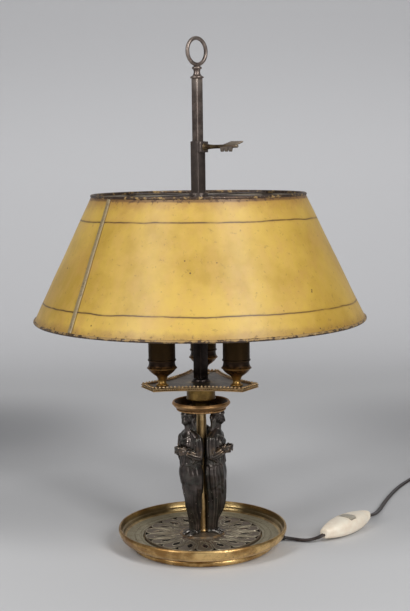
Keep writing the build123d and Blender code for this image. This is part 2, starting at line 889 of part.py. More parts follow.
def model():
    nodes = {
        "base_tray": base_tray(),
        "pierced_rosette": pierced_rosette(),
        "figure_plinth": figure_plinth(),
        "column_tube": column_tube(),
        "base_nut": base_nut(),
        "figure_nuts": figure_nuts(),
        "capital_dish": capital_dish(),
        "neck_collar": neck_collar(),
        "triform_plate": triform_plate(),
        "plate_cover": plate_cover(),
        "cup_nipples": cup_nipples(),
        "stem_foot": stem_foot(),
        "stem_rod": stem_rod(),
        "ring_finial": ring_finial(),
        "inner_lead": inner_lead(),
        "branch_leads": branch_leads(),
        "slide_sleeve": slide_sleeve(),
        "key_boss": key_boss(),
        "key_screw": key_screw(),
        "key_fletching": key_fletching(),
        "shade_cone": shade_cone(),
        "shade_top_wire": rim_wire(SHADE_HIGH),
        "shade_bottom_wire": rim_wire(SHADE_LOW),
        "spider_collar": spider_collar(),
        "spider_rivets": spider_rivets(),
        "cord_bushing": cord_bushing(),
        "flex_to_switch": tube_along(TO_SWITCH, CORD_R),
        "switch_lower": switch_lower(),
        "switch_upper": switch_upper(),
        "switch_screws": switch_screws(),
        "switch_contacts": switch_contacts(),
        "switch_rocker": switch_rocker(),
        "rocker_pin": rocker_pin(),
        "flex_to_coil": tube_along(TO_COIL, CORD_R),
        "flex_coil": flex_coil(),
        "flex_to_plug": tube_along(TO_PLUG, CORD_R),
        "plug_body": plug_body(),
        "plug_pins": plug_pins(),
    }
    for name, direction in FIGURE_DIRECTIONS.items():
        nodes[f"figure_{name}"] = figure(direction)
    for name, turn in CUP_DIRECTIONS.items():
        nodes[f"candle_cup_{name}"] = at_cup(candle_cup(), turn)
        nodes[f"lampholder_{name}"] = at_cup(lampholder(), turn)
        nodes[f"candle_sleeve_{name}"] = at_cup(candle_sleeve(), turn)
        nodes[f"bulb_cap_{name}"] = at_cup(bulb_cap(), turn)
        nodes[f"bulb_glass_{name}"] = at_cup(bulb_glass(), turn)
    for number, turn in enumerate(ARM_TURNS, 1):
        nodes[f"spider_arm_{number}"] = spider_arm(turn)
    return nodes


for node, solid in model().items():
    export_step(solid, f"parts/{node}.step")
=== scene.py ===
import math

import bmesh
import bpy
import numpy as np
from mathutils import Matrix, Vector, noise


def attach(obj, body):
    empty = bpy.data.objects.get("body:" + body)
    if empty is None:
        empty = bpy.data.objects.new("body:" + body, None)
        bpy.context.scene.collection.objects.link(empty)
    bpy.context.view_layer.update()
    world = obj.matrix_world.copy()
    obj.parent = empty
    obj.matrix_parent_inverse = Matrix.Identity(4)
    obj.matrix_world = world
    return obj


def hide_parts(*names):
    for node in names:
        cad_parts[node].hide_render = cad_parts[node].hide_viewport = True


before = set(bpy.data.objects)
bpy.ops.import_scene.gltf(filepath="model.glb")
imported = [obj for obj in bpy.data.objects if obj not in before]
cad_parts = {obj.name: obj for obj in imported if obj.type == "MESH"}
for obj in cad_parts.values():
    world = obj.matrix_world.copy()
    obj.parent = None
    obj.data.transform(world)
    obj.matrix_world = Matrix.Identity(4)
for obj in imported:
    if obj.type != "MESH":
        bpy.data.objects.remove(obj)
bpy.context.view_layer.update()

# Lengths in this script are millimetres and angles degrees, as on a drawing. They become metres
# where a mesh, a light or the camera is made. The lamp's axis is Z and its front is -Y.
MM = 0.001

# ---- Sizes that more than one piece shares ----
FIGURE_DIRECTIONS = {"left": 220.0, "right": 340.0, "back": 100.0}
CUP_DIRECTIONS = {"left": 206.0, "right": 326.0, "back": 86.0}
LAMP_TOP = 580.0
COLUMN_R = 5.6
COLUMN_BORE = 5.7
PLINTH_TOP = 16.0
CAPITAL_LOW = 160.2
CAPITAL_FLOOR = 162.6
PLATE_LOW = 189.3
PLATE_WEB = 192.6
PLATE_TOP = 193.6
PLATE_REACH = 67.2
PLATE_CORNER = 17.4
PLATE_HOLLOW_SIDE = 7.6
PLATE_HOLE = 6.7
CUP_REACH = 48.3
CUP_TOP = 248.4
CUP_BORE = 3.1
ROD_HALF = 4.5
ROD_LOW = 195.6
ROD_TOP = 534.0
SLEEVE_HALF = 6.0
SLEEVE_LOW = 196.0
SLEEVE_TOP = 464.9
ROD_TURN = 45.0
KEY_TURN = -45.0
KEY_HEIGHT = 458.5
VANE_TILT = 30.0
RING_R = 16.5
RING_WIRE_R = 2.15
SHADE_LOW = (186.0, 267.2)
SHADE_HIGH = (119.6, 405.5)
SHADE_SEGMENTS = 288
SEAM_TURN = 221.5
SEAM_SLANT = 4.8
SWITCH_PLACE = (171.1, 35.45, 0.0)
SWITCH_TURN = 50.0
SWITCH_HALF = 46.5
SWITCH_SPLIT = 9.5
SWITCH_MIDDLE = 10.4
ROCKER_HEIGHT = 15.2
ROCKER_TILT = 8.0
PLUG_PLACE = (360.5, 223.0, 6.6)
PLUG_TURN = -120.0
COIL_PLACE = (337.0, 270.0)


# ---- Node trees ----


class Value:
    """A node's output, which plain arithmetic works on."""

    def __init__(self, nodes, socket):
        self.nodes = nodes
        self.socket = socket

    def math(self, operation, *values):
        return self.nodes.add("ShaderNodeMath", {"operation": operation}, dict(enumerate(values)))

    def __add__(self, other):
        return self.math("ADD", self, other)

    def __sub__(self, other):
        return self.math("SUBTRACT", self, other)

    def __rsub__(self, other):
        return self.math("SUBTRACT", other, self)

    def __mul__(self, other):
        return self.math("MULTIPLY", self, other)

    def __truediv__(self, other):
        return self.math("DIVIDE", self, other)

    def __pow__(self, other):
        return self.math("POWER", self, other)

    __radd__ = __add__
    __rmul__ = __mul__

    def sine(self):
        return self.math("SINE", self)

    def size(self):
        return self.math("ABSOLUTE", self)

    def above(self, other):
        return self.math("MAXIMUM", self, other)

    def below(self, other):
        return self.math("MINIMUM", self, other)


class Nodes:
    """A node tree that is written as expressions."""

    def __init__(self, tree):
        self.tree = tree

    def add(self, kind, settings=None, sockets=None, output=0):
        node = self.tree.nodes.new(kind)
        for name, setting in (settings or {}).items():
            if name == "stops":
                self.fill_ramp(node.color_ramp, setting)
            else:
                setattr(node, name, setting)
        for name, value in (sockets or {}).items():
            self.put(node.inputs[name], value)
        return Value(self, node.outputs[output])

    def put(self, socket, value):
        if isinstance(value, Value):
            self.tree.links.new(value.socket, socket)
        else:
            socket.default_value = value

    def fill_ramp(self, ramp, stops):
        for spare in list(ramp.elements)[1:]:
            ramp.elements.remove(spare)
        for k, (position, colour) in enumerate(stops):
            element = ramp.elements[0] if k == 0 else ramp.elements.new(position)
            element.position = position
            element.color = colour


def tone(red, green, blue):
    """A colour as it shows on screen, 0 to 255, as the linear colour that a shader takes."""
    return tuple(
        c / 12.92 if c <= 0.04045 else ((c + 0.055) / 1.055) ** 2.4
        for c in (red / 255, green / 255, blue / 255)
    ) + (1.0,)


class Finish(Nodes):
    """A material, with the patterns that the finishes share. Pattern sizes are in millimetres."""

    def __init__(self, name):
        self.material = bpy.data.materials.new(name)
        self.material.use_nodes = True
        super().__init__(self.material.node_tree)
        self.shader = self.tree.nodes["Principled BSDF"]
        self.place = self.add("ShaderNodeTexCoord", output="Object")
        parts = self.add("ShaderNodeSeparateXYZ", None, {0: self.place})
        self.x, self.y, self.z = (
            Value(self, parts.socket.node.outputs[k]) * 1000.0 for k in range(3)
        )

    def set(self, sockets):
        for name, value in sockets.items():
            self.put(self.shader.inputs[name], value)
        return self.material

    def reach(self):
        """The distance from the lamp's axis."""
        return (self.x * self.x + self.y * self.y) ** 0.5

    def stretched(self, along):
        """The object's coordinates, scaled along each axis."""
        return self.add(
            "ShaderNodeVectorMath", {"operation": "MULTIPLY"}, {0: self.place, 1: along}, 0
        )

    def cloud(self, size, detail=3.0, rough=0.55, place=None, output="Fac"):
        sockets = {
            "Vector": place or self.place,
            "Scale": 1000.0 / size,
            "Detail": detail,
            "Roughness": rough,
        }
        return self.add("ShaderNodeTexNoise", None, sockets, output)

    def pits(self, size):
        """The distance to the nearest of a scatter of points, in cells."""
        return self.add(
            "ShaderNodeTexVoronoi", None, {"Vector": self.place, "Scale": 1000.0 / size}, "Distance"
        )

    def between(self, value, low, high):
        """A smooth step from 0 at low to 1 at high."""
        settings = {"interpolation_type": "SMOOTHSTEP"}
        sockets = {"Value": value, "From Min": low, "From Max": high}
        return self.add("ShaderNodeMapRange", settings, sockets)

    def near(self, value, middle, reach):
        """1 where the value is at the middle, falling to 0 at that distance from it."""
        return 1.0 - self.between((value - middle).size(), 0.0, reach)

    def patches(self, low, high, *cloud):
        """1 where a cloud is above the high level, 0 where it is below the low one."""
        return self.between(self.cloud(*cloud), low, high)

    def open(self, distance):
        """1 on open surfaces and 0 deep in a corner or a groove."""
        settings = {"samples": 6, "only_local": True}
        return self.add("ShaderNodeAmbientOcclusion", settings, {"Distance": distance * MM}, "AO")

    def hollows(self, distance, low, high):
        """1 deep in a corner or a groove and 0 on open surfaces."""
        return 1.0 - self.between(self.open(distance), low, high)

    def ridge(self, low=0.5, high=0.6):
        """1 on ridges and edges of a fine mesh."""
        return self.between(self.add("ShaderNodeNewGeometry", output="Pointiness"), low, high)

    def blend(self, mask, first, second):
        settings = {"data_type": "RGBA"}
        return self.add("ShaderNodeMix", settings, {0: mask, 6: first, 7: second}, 2)

    def bump(self, height, depth, strength=1.0):
        """A normal from a height between 0 and 1 that stands for a depth."""
        return self.add(
            "ShaderNodeBump", None, {"Strength": strength, "Distance": depth * MM, "Height": height}
        )


# ---- Finishes ----


def worn_brass(name, light, mid, dark, shine=0.3, dish=None, corner_shade_and_grime=0.85):
    """Lacquered brass that is bright where it is rubbed, brown in patches, and darker in its
    corners with painted shade and grime. A dish of (floor radius, floor height, top height) is
    painted nearly black inside as painted shade."""
    f = Finish(name)
    patches = f.patches(0.40, 0.64, 26.0, 5.0, 0.62)
    stains = f.patches(0.50, 0.72, 7.0, 4.0, 0.7)
    fine = f.cloud(1.1, 3.0, 0.6)
    colour = f.blend(patches, mid, light)
    colour = f.blend(stains * 0.55, colour, dark)
    if dish:
        radius, low, high = dish
        # Painted shade: the dish's floor and inner wall are painted nearly black.
        flare = f.reach() - (f.z - low) * 0.9
        inside = f.between(flare, radius + 0.4, radius - 0.4) * f.between(f.z, low - 0.3, low)
        inside = inside * f.between(f.z, high, high - 0.6)
        colour = f.blend(inside * 0.9, colour, tone(30, 22, 16))
    # Painted shade with grime: darker and rougher where the surface is occluded.
    corners = f.hollows(3.0, 0.25, 0.85)
    colour = f.blend(corners * corner_shade_and_grime, colour, tone(44, 31, 20))
    rough = shine + fine * 0.14 + stains * 0.16 + corners * 0.2
    return f.set(
        {
            "Base Color": colour,
            "Metallic": 0.93,
            "Roughness": rough,
            "Normal": f.bump(fine * 0.6 + f.cloud(5.0) * 0.4, 0.06),
        }
    )


def tray_brass():
    """The tray: golden outside, brown inside the rim, and a dull grey-green floor with rings.
    Painted shade makes the well under the rosette nearly black, dims the lip, and darkens the
    corners along with grime.
    """
    f = Finish("tray_brass")
    reach = f.reach()
    floor = f.between(reach, 89.5, 87.5) * f.between(f.z, 9.5, 11.0)
    patches = f.patches(0.38, 0.62, 30.0, 5.0, 0.62)
    stains = f.patches(0.50, 0.70, 6.0, 5.0, 0.7)
    spots = 1.0 - f.between(f.pits(5.5), 0.10, 0.24)
    spots = spots * f.patches(0.50, 0.62, 18.0)
    gold = f.blend(patches, tone(156, 118, 68), tone(234, 198, 134))
    gold = f.blend(stains * 0.5, gold, tone(134, 96, 62))
    inner = f.between(f.z, 12.5, 15.0) * f.between(reach, 95.4, 94.2)
    gold = f.blend(inner * 0.8, gold, tone(116, 101, 70))
    # Painted shade: the lip is darkened, and made rougher, to dim its highlight.
    lip = f.between(f.z, 22.3, 23.2)
    gold = f.blend(lip * 0.5, gold, tone(122, 94, 60))
    grey = f.blend(f.cloud(9.0, 5.0, 0.65), tone(136, 128, 104), tone(184, 174, 148))
    grey = f.blend(stains * 0.4, grey, tone(100, 84, 64))
    colour = f.blend(floor, gold, grey)
    # Painted shade: the well under the rosette is painted nearly black and less metallic.
    well = f.between(f.z, 9.6, 8.9) * f.between(reach, 66.5, 65.0)
    colour = f.blend(well * 0.92, colour, tone(24, 18, 13))
    # Painted shade with grime: darker and rougher where the surface is occluded.
    corners = f.hollows(3.5, 0.25, 0.85)
    colour = f.blend(corners * 0.8, colour, tone(50, 36, 24))
    colour = f.blend(spots * 0.7, colour, tone(70, 48, 30))
    rings = (reach * 5.2 + f.cloud(40.0) * 1.5).sine() * 0.5 + 0.5
    rings = rings * f.patches(0.3, 0.7, 1.5, 2.0)
    fine = f.cloud(0.9, 3.0, 0.6)
    return f.set(
        {
            "Base Color": colour,
            "Metallic": 0.92 - floor * 0.25 - well * 0.8,
            "Roughness": (
                0.24 + fine * 0.12 + stains * 0.14 + floor * 0.24 + corners * 0.15 + lip * 0.14
            ),
            "Normal": f.bump(rings * 0.5 + fine * 0.25 + f.cloud(6.0) * 0.5, 0.10),
        }
    )


def grey_brass():
    """The rosette and plinth: grey-brown with rubbed edges, corners darkened by painted shade and
    grime, the rosette's sides below its top painted nearly black as painted shade, and a gilt
    plinth edge that is also a painted highlight.
    """
    f = Finish("grey_brass")
    worn = f.ridge(0.505, 0.56)
    base = f.blend(f.cloud(8.0, 5.0, 0.65), tone(92, 81, 68), tone(136, 122, 106))
    colour = f.blend(worn * 0.3, base, tone(186, 170, 142))
    # Painted highlight with gilt: a golden ring round the plinth's top edge.
    edge = (
        f.between(f.reach(), 28.0, 26.6)
        * f.between(f.reach(), 22.0, 23.4)
        * f.between(f.z, 14.3, 14.7)
    )
    colour = f.blend(edge * f.patches(0.44, 0.62, 7.0) * 0.6, colour, tone(206, 168, 112))
    # Painted shade with grime: darker and rougher where the surface is occluded.
    corners = f.hollows(2.4, 0.25, 0.9)
    colour = f.blend(corners * 0.9, colour, tone(38, 30, 22))
    # Painted shade: below the rosette's top, its sides and the walls of its openings are painted
    # nearly black and less metallic.
    deep = f.between(f.z, 14.05, 13.8) * f.between(f.reach(), 67.3, 66.7)
    colour = f.blend(deep * 0.92, colour, tone(20, 16, 12))
    stains = f.patches(0.52, 0.66, 14.0, 4.0, 0.6)
    colour = f.blend(stains * 0.4, colour, tone(120, 84, 70))
    fine = f.cloud(0.8, 3.0, 0.65)
    return f.set(
        {
            "Base Color": colour,
            "Metallic": 0.8 - deep * 0.7,
            "Roughness": 0.44 + fine * 0.2 + (corners + deep) * 0.2 - edge * 0.1,
            "Normal": f.bump(fine * 0.6 + f.cloud(3.0) * 0.6, 0.10),
        }
    )


def figure_bronze():
    """Black-brown patina, painted pale on the ridges as rubbed metal and painted highlight, rubbed
    to gold at the hands, and darkened in its hollows by painted shade and grime.
    """
    f = Finish("figure_bronze")
    worn = f.ridge(0.505, 0.58)
    patches = f.patches(0.38, 0.66, 12.0, 4.0, 0.6)
    colour = f.blend(patches, tone(56, 50, 47), tone(88, 79, 75))
    tint = f.patches(0.44, 0.62, 9.0, 3.0, 0.6)
    colour = f.blend(tint * 0.35, colour, tone(74, 80, 72))
    # Painted highlight with wear: the ridges of the folds are painted pale.
    colour = f.blend(worn * 0.9, colour, tone(196, 184, 174))
    hands = f.between(f.reach(), 23.5, 27.0) * f.near(f.z, 116.5, 8.0)
    rubbed = hands * f.patches(0.42, 0.58, 3.5, 3.0, 0.6) * (0.12 + worn * 0.88)
    colour = f.blend(rubbed * 0.85, colour, tone(196, 146, 82))
    feet = f.between(f.z, 21.0, 17.5)
    colour = f.blend(feet * 0.35, colour, tone(120, 118, 112))
    # Painted shade with grime: darker and rougher where the surface is occluded.
    hollows = f.hollows(2.2, 0.3, 0.9)
    colour = f.blend(hollows * 0.8, colour, tone(20, 15, 14))
    fine = f.cloud(0.7, 3.0, 0.6)
    return f.set(
        {
            "Base Color": colour,
            "Metallic": 0.82,
            "Roughness": 0.24 + fine * 0.14 + hollows * 0.25,
            "Coat Weight": 0.15,
            "Coat Roughness": 0.25,
            "Normal": f.bump(fine * 0.5 + f.cloud(2.2) * 0.6, 0.08),
        }
    )


def cup_bronze():
    """The cups: bright at the neck, mottled brown on the bowl and nearly black above it."""
    f = Finish("cup_bronze")
    mottle = f.patches(0.42, 0.62, 3.2, 4.0, 0.7)
    bowl = f.blend(mottle, tone(66, 46, 28), tone(140, 100, 56))
    neck = f.blend(f.cloud(3.0), tone(178, 132, 68), tone(226, 186, 112))
    black = f.blend(f.cloud(5.0, 4.0, 0.65), tone(34, 24, 17), tone(56, 40, 28))
    high = f.between(f.z, 213.6, 217.0)
    colour = f.blend(f.between(f.z, 201.0, 206.0), neck, bowl)
    colour = f.blend(high, colour, black)
    worn = f.ridge(0.51, 0.57)
    colour = f.blend(worn * 0.35, colour, tone(190, 148, 86))
    # Painted shade with grime: darker where the surface is occluded.
    corners = f.hollows(2.0, 0.3, 0.9)
    colour = f.blend(corners * 0.8, colour, tone(24, 17, 12))
    fine = f.cloud(0.8, 3.0, 0.6)
    return f.set(
        {
            "Base Color": colour,
            "Metallic": 0.9,
            "Roughness": 0.26 + fine * 0.14 + mottle * 0.1 + high * 0.08,
            "Normal": f.bump(fine * 0.6 + f.cloud(2.6) * 0.5, 0.08),
        }
    )


def plate_bronze():
    """The plate: a gilt border round a dark web with some green in its corners."""
    f = Finish("plate_bronze")
    border = f.between(f.z, 192.75, 193.3).above(f.between(f.z, 192.5, 192.4))
    patches = f.patches(0.40, 0.62, 9.0, 4.0, 0.65)
    gilt = f.blend(patches, tone(134, 100, 62), tone(192, 148, 94))
    web = f.blend(patches, tone(92, 80, 68), tone(130, 114, 94))
    colour = f.blend(border, web, gilt)
    green = f.patches(0.60, 0.68, 11.0, 3.0, 0.6) * (1.0 - border)
    colour = f.blend(green * 0.5, colour, tone(96, 118, 92))
    worn = f.ridge(0.51, 0.58)
    colour = f.blend(worn * 0.6, colour, tone(224, 196, 146))
    # Painted shade with grime: darker where the surface is occluded.
    corners = f.hollows(1.6, 0.3, 0.9)
    colour = f.blend(corners * 0.7, colour, tone(34, 26, 18))
    fine = f.cloud(0.8, 3.0, 0.6)
    return f.set(
        {
            "Base Color": colour,
            "Metallic": 0.88,
            "Roughness": 0.30 + fine * 0.16 + corners * 0.2,
            "Normal": f.bump(fine * 0.6 + f.cloud(3.0) * 0.5, 0.08),
        }
    )


def brown_steel(name, light, dark, wear, rough):
    """The rod, finial and key: warm brown steel with streaks along it and rubbed corners."""
    f = Finish(name)
    streaks = f.cloud(2.0, 4.0, 0.6, f.stretched((1.0, 1.0, 0.08)))
    patches = f.patches(0.40, 0.62, 10.0, 4.0, 0.65)
    colour = f.blend(patches, dark, light)
    colour = f.blend(f.between(streaks, 0.45, 0.65) * 0.4, colour, tone(66, 50, 44))
    rust = f.patches(0.56, 0.68, 4.0, 4.0, 0.7)
    colour = f.blend(rust * 0.5, colour, tone(108, 66, 44))
    worn = f.ridge(0.51, 0.56)
    colour = f.blend(worn * wear, colour, tone(196, 182, 170))
    fine = f.cloud(0.7, 3.0, 0.6)
    return f.set(
        {
            "Base Color": colour,
            "Metallic": 0.9,
            "Roughness": rough + fine * 0.16 + rust * 0.2,
            "Normal": f.bump(fine * 0.5 + streaks * 0.5, 0.06),
        }
    )


def dark_iron():
    """The sleeve and spider: nearly black, with bare metal along the corners, painted shade on the
    sleeve under the lampshade and painted light above it.
    """
    f = Finish("dark_iron")
    patches = f.patches(0.42, 0.64, 9.0, 4.0, 0.65)
    colour = f.blend(patches, tone(58, 52, 50), tone(98, 86, 80))
    worn = f.ridge(0.52, 0.58) * f.patches(0.48, 0.62, 5.0, 4.0, 0.7)
    colour = f.blend(worn * 0.7, colour, tone(150, 140, 130))
    rust = f.patches(0.58, 0.68, 5.0, 4.0, 0.7)
    colour = f.blend(rust * 0.4, colour, tone(92, 58, 40))
    # Painted shade: darker along the sleeve where it stands under the lampshade.
    colour = f.blend(
        f.between(f.z, 300.0, 262.0) * f.between(f.z, 196.5, 203.0) * 0.8, colour, tone(38, 29, 25)
    )
    # Painted light: lighter where the sleeve rises above the lampshade.
    colour = f.blend(f.between(f.z, 380.0, 400.0) * 0.55, colour, tone(128, 116, 110))
    fine = f.cloud(0.8, 3.0, 0.6)
    return f.set(
        {
            "Base Color": colour,
            "Metallic": 0.85,
            "Roughness": 0.32 + fine * 0.18 + rust * 0.2 - worn * 0.05,
            "Normal": f.bump(fine * 0.6 + f.cloud(4.0) * 0.4, 0.08),
        }
    )


def tole_paint():
    """Yellow ochre paint, with brown staining under the rims, specks and two thin dark lines,
    painted shade over its right side and a painted shadow line beside the seam.
    """
    f = Finish("tole_paint")
    broad = f.cloud(70.0, 5.0, 0.6)
    brushed = f.cloud(10.0, 4.0, 0.6, f.stretched((1.0, 1.0, 0.25)))
    colour = f.blend(f.between(broad, 0.34, 0.66), tone(184, 148, 56), tone(212, 176, 80))
    colour = f.blend(f.between(brushed, 0.40, 0.68) * 0.35, colour, tone(204, 162, 88))
    rosy = f.patches(0.52, 0.70, 46.0, 4.0, 0.62)
    colour = f.blend(rosy * 0.32, colour, tone(198, 150, 92))
    drips = f.cloud(16.0, 5.0, 0.65)
    from_top = f.between(f.z + drips * 26.0, 402.0, 418.0)
    colour = f.blend(from_top * 0.55, colour, tone(150, 102, 62))
    from_foot = 1.0 - f.between(f.z - drips * 16.0, 262.0, 270.0)
    colour = f.blend(from_foot * 0.5, colour, tone(146, 108, 62))
    wander = (f.cloud(34.0, 3.0, 0.5) - 0.5) * 3.4
    faded = f.patches(0.26, 0.52, 22.0, 3.0, 0.6)
    for height in (379.3 - f.y * 0.014, 287.4 - f.y * 0.016):
        line = f.near(f.z + wander, height, 1.25)
        halo = f.near(f.z + wander, height, 3.2)
        colour = f.blend(halo * 0.22, colour, tone(152, 112, 52))
        colour = f.blend((line * (0.45 + faded * 0.5)).below(1.0), colour, tone(66, 44, 26))
    # Painted shade: the paint is darker towards the lamp's right side.
    colour = f.blend(f.between(f.x, 30.0, 150.0) * 0.3, colour, tone(160, 124, 34))
    specks = (1.0 - f.between(f.pits(17.0), 0.035, 0.075)) * f.patches(0.46, 0.56, 40.0)
    colour = f.blend(specks * 0.85, colour, tone(74, 50, 34))
    edges = f.between(f.z, 396.5, 404.0).above(f.between(f.z, 276.0, 269.0) * 0.6)
    chips = f.between(f.cloud(4.6, 5.0, 0.7) + edges * 0.08, 0.61, 0.645)
    colour = f.blend(chips * edges.above(0.25) * 0.95, colour, tone(64, 46, 36))
    colour = f.blend(f.between(f.z + wander * 0.5, 400.4, 402.4) * 0.7, colour, tone(92, 64, 44))
    turn, slope = math.radians(SEAM_TURN), math.radians(SEAM_SLANT)
    across = f.y * math.cos(turn) - f.x * math.sin(turn) - (336.3 - f.z) * 1.109 * math.sin(slope)
    facing = f.between(f.x * math.cos(turn) + f.y * math.sin(turn), 40.0, 60.0)
    # Painted shadow: a dark line beside the seam's raised strip.
    seam_shadow = f.near(across + wander * 0.12, 3.5, 1.3) * facing
    colour = f.blend(seam_shadow * 0.75, colour, tone(82, 62, 42))
    fine = f.cloud(1.4, 3.0, 0.6)
    return f.set(
        {
            "Base Color": colour,
            "Metallic": 0.0,
            "Roughness": 0.38 + f.cloud(12.0, 4.0, 0.6) * 0.2 + chips * edges * 0.2,
            "Coat Weight": 0.14,
            "Coat Roughness": 0.32,
            "Normal": f.bump(fine * 0.3 + brushed * 0.5 - chips * edges * 0.6, 0.12),
        }
    )


def seam_paint():
    """The lapped seam: the same paint, greyed and rubbed."""
    f = Finish("seam_paint")
    colour = f.blend(f.cloud(8.0, 5.0, 0.7), tone(124, 106, 74), tone(160, 140, 98))
    colour = f.blend(f.patches(0.50, 0.62, 4.0, 4.0, 0.7) * 0.7, colour, tone(94, 78, 60))
    colour = f.blend(f.ridge(0.51, 0.57) * 0.35, colour, tone(176, 164, 142))
    return f.set(
        {"Base Color": colour, "Roughness": 0.45, "Normal": f.bump(f.cloud(1.2, 4.0, 0.7), 0.15)}
    )


def rim_iron():
    """The rolled rims: dark iron under what is left of the paint."""
    f = Finish("rim_iron")
    bare = f.blend(f.cloud(4.0, 4.0, 0.7), tone(52, 42, 38), tone(104, 86, 74))
    upper = f.between(f.z, 266.6, 267.8) * f.between(f.z, 300.0, 290.0)
    left = f.between(f.cloud(7.0, 5.0, 0.72) + upper * 0.1, 0.52, 0.60)
    colour = f.blend(left * 0.78, bare, tone(176, 144, 88))
    colour = f.blend(f.patches(0.60, 0.68, 2.5, 3.0, 0.7) * 0.6, colour, tone(184, 170, 156))
    return f.set(
        {
            "Base Color": colour,
            "Metallic": 0.75 - left * 0.6,
            "Roughness": 0.34 + f.cloud(1.5) * 0.2 + left * 0.1,
            "Normal": f.bump(f.cloud(1.6, 4.0, 0.7), 0.2),
        }
    )


def inner_white():
    """The inside of the shade: aged off-white paint."""
    f = Finish("inner_white")
    colour = f.blend(
        f.patches(0.36, 0.66, 30.0, 5.0, 0.65), tone(138, 128, 114), tone(168, 158, 142)
    )
    specks = f.patches(0.62, 0.70, 4.0, 4.0, 0.7)
    colour = f.blend(specks * 0.5, colour, tone(150, 124, 92))
    return f.set({"Base Color": colour, "Roughness": 0.55, "Normal": f.bump(f.cloud(2.0), 0.1)})


def moulded(name, light, dark, rough, size=14.0, grain=0.03):
    """Moulded plastic or rubber, a little uneven in colour and gloss."""
    f = Finish(name)
    shade = f.between(f.cloud(size, 4.0, 0.6), 0.35, 0.68)
    fine = f.cloud(0.5, 2.0, 0.5)
    # Painted shade with grime: darker where the surface is occluded.
    corner_shade_and_grime = f.hollows(1.5, 0.3, 0.9)
    colour = f.blend(shade, dark, light)
    colour = f.blend(corner_shade_and_grime * 0.45, colour, tone(90, 74, 58))
    return f.set(
        {
            "Base Color": colour,
            "Roughness": rough + fine * 0.08 + shade * 0.05,
            "Normal": f.bump(fine, grain),
        }
    )


def plain_metal(name, light, dark, rough):
    """A small hidden metal part: drawn or turned, slightly tarnished."""
    f = Finish(name)
    mask = f.patches(0.38, 0.64, 5.0, 4.0, 0.6)
    return f.set(
        {
            "Base Color": f.blend(mask, dark, light),
            "Metallic": 1.0,
            "Roughness": rough + f.cloud(0.8) * 0.15,
            "Normal": f.bump(f.cloud(0.9), 0.04),
        }
    )


def blown_glass():
    """Clear glass with a little dust."""
    f = Finish("blown_glass")
    dust = f.patches(0.4, 0.8, 9.0, 3.0, 0.6)
    return f.set(
        {
            "Base Color": (1.0, 1.0, 1.0, 1.0),
            "Transmission Weight": 1.0,
            "IOR": 1.45,
            "Roughness": 0.02 + dust * 0.04,
        }
    )


FINISHES = {
    "tray": tray_brass(),
    "grey_brass": grey_brass(),
    "column": worn_brass(
        "column_brass", tone(208, 178, 128), tone(160, 130, 86), tone(96, 74, 48), 0.34
    ),
    "capital": worn_brass(
        "capital_brass",
        tone(206, 164, 114),
        tone(160, 123, 82),
        tone(94, 68, 46),
        0.38,
        (26.4, 162.6, 169.9),
    ),
    "neck": worn_brass(
        "neck_brass", tone(158, 128, 72), tone(108, 84, 46), tone(60, 45, 27), 0.26, None, 0.35
    ),
    "rubbed": worn_brass(
        "rubbed_brass", tone(196, 186, 162), tone(150, 140, 118), tone(92, 80, 62), 0.4
    ),
    "bead": worn_brass(
        "bead_brass", tone(250, 222, 176), tone(226, 192, 142), tone(120, 90, 60), 0.34, None, 0.5
    ),
    "figure": figure_bronze(),
    "plate": plate_bronze(),
    "cup": cup_bronze(),
    "steel": brown_steel("rod_steel", tone(146, 132, 124), tone(104, 92, 86), 0.8, 0.32),
    "key_steel": brown_steel("key_steel", tone(112, 96, 68), tone(74, 61, 45), 0.3, 0.38),
    "iron": dark_iron(),
    "tole": tole_paint(),
    "seam": seam_paint(),
    "rim": rim_iron(),
    "white": inner_white(),
    "brass": plain_metal("plain_brass", tone(214, 176, 104), tone(168, 128, 66), 0.25),
    "zinc": plain_metal("zinc_steel", tone(196, 196, 198), tone(150, 150, 152), 0.3),
    "flex": moulded("flex_brown", tone(54, 41, 36), tone(35, 26, 23), 0.34),
    "rubber": moulded("black_rubber", tone(44, 40, 38), tone(26, 24, 24), 0.5),
    "ivory": moulded("switch_ivory", tone(250, 240, 220), tone(242, 226, 204), 0.30),
    "rocker": moulded("rocker_grey", tone(176, 168, 152), tone(158, 150, 134), 0.34),
    "plug": moulded("plug_brown", tone(60, 42, 34), tone(42, 28, 22), 0.32),
    "holder": moulded("holder_plastic", tone(232, 226, 210), tone(214, 206, 188), 0.45),
    "candle": moulded("candle_ivory", tone(236, 222, 190), tone(222, 204, 168), 0.5, 30.0),
    "glass": blown_glass(),
}


# ---- Mesh tools ----


def outline(*stops, steps=8):
    """The points of a section from (radius, height) stops. A stop of four numbers is an arc: the
    point that it passes through, then its end."""
    points = [Vector(stops[0])]
    for stop in stops[1:]:
        if len(stop) == 4:
            points += arc(points[-1], Vector(stop[:2]), Vector(stop[2:]), steps)
        else:
            points.append(Vector(stop))
    return points


def arc(start, through, end, steps):
    """Points after start along the circle through three points, up to end."""
    a, b, c = (complex(*p) for p in (start, through, end))
    w = (c - a) / (b - a)
    middle = (b - a) * (w - abs(w) ** 2) / (2j * w.imag) + a
    radius = abs(a - middle)
    first = math.atan2((a - middle).imag, (a - middle).real)
    swings = [math.atan2((p - middle).imag, (p - middle).real) - first for p in (b, c)]
    turn, full = swings[1], 2 * math.pi
    if not (0 < swings[0] % full < turn % full):
        turn = -((-turn) % full)
    else:
        turn = turn % full
    angles = [first + turn * k / steps for k in range(1, steps + 1)]
    return [
        Vector((middle.real + radius * math.cos(t), middle.imag + radius * math.sin(t)))
        for t in angles
    ]


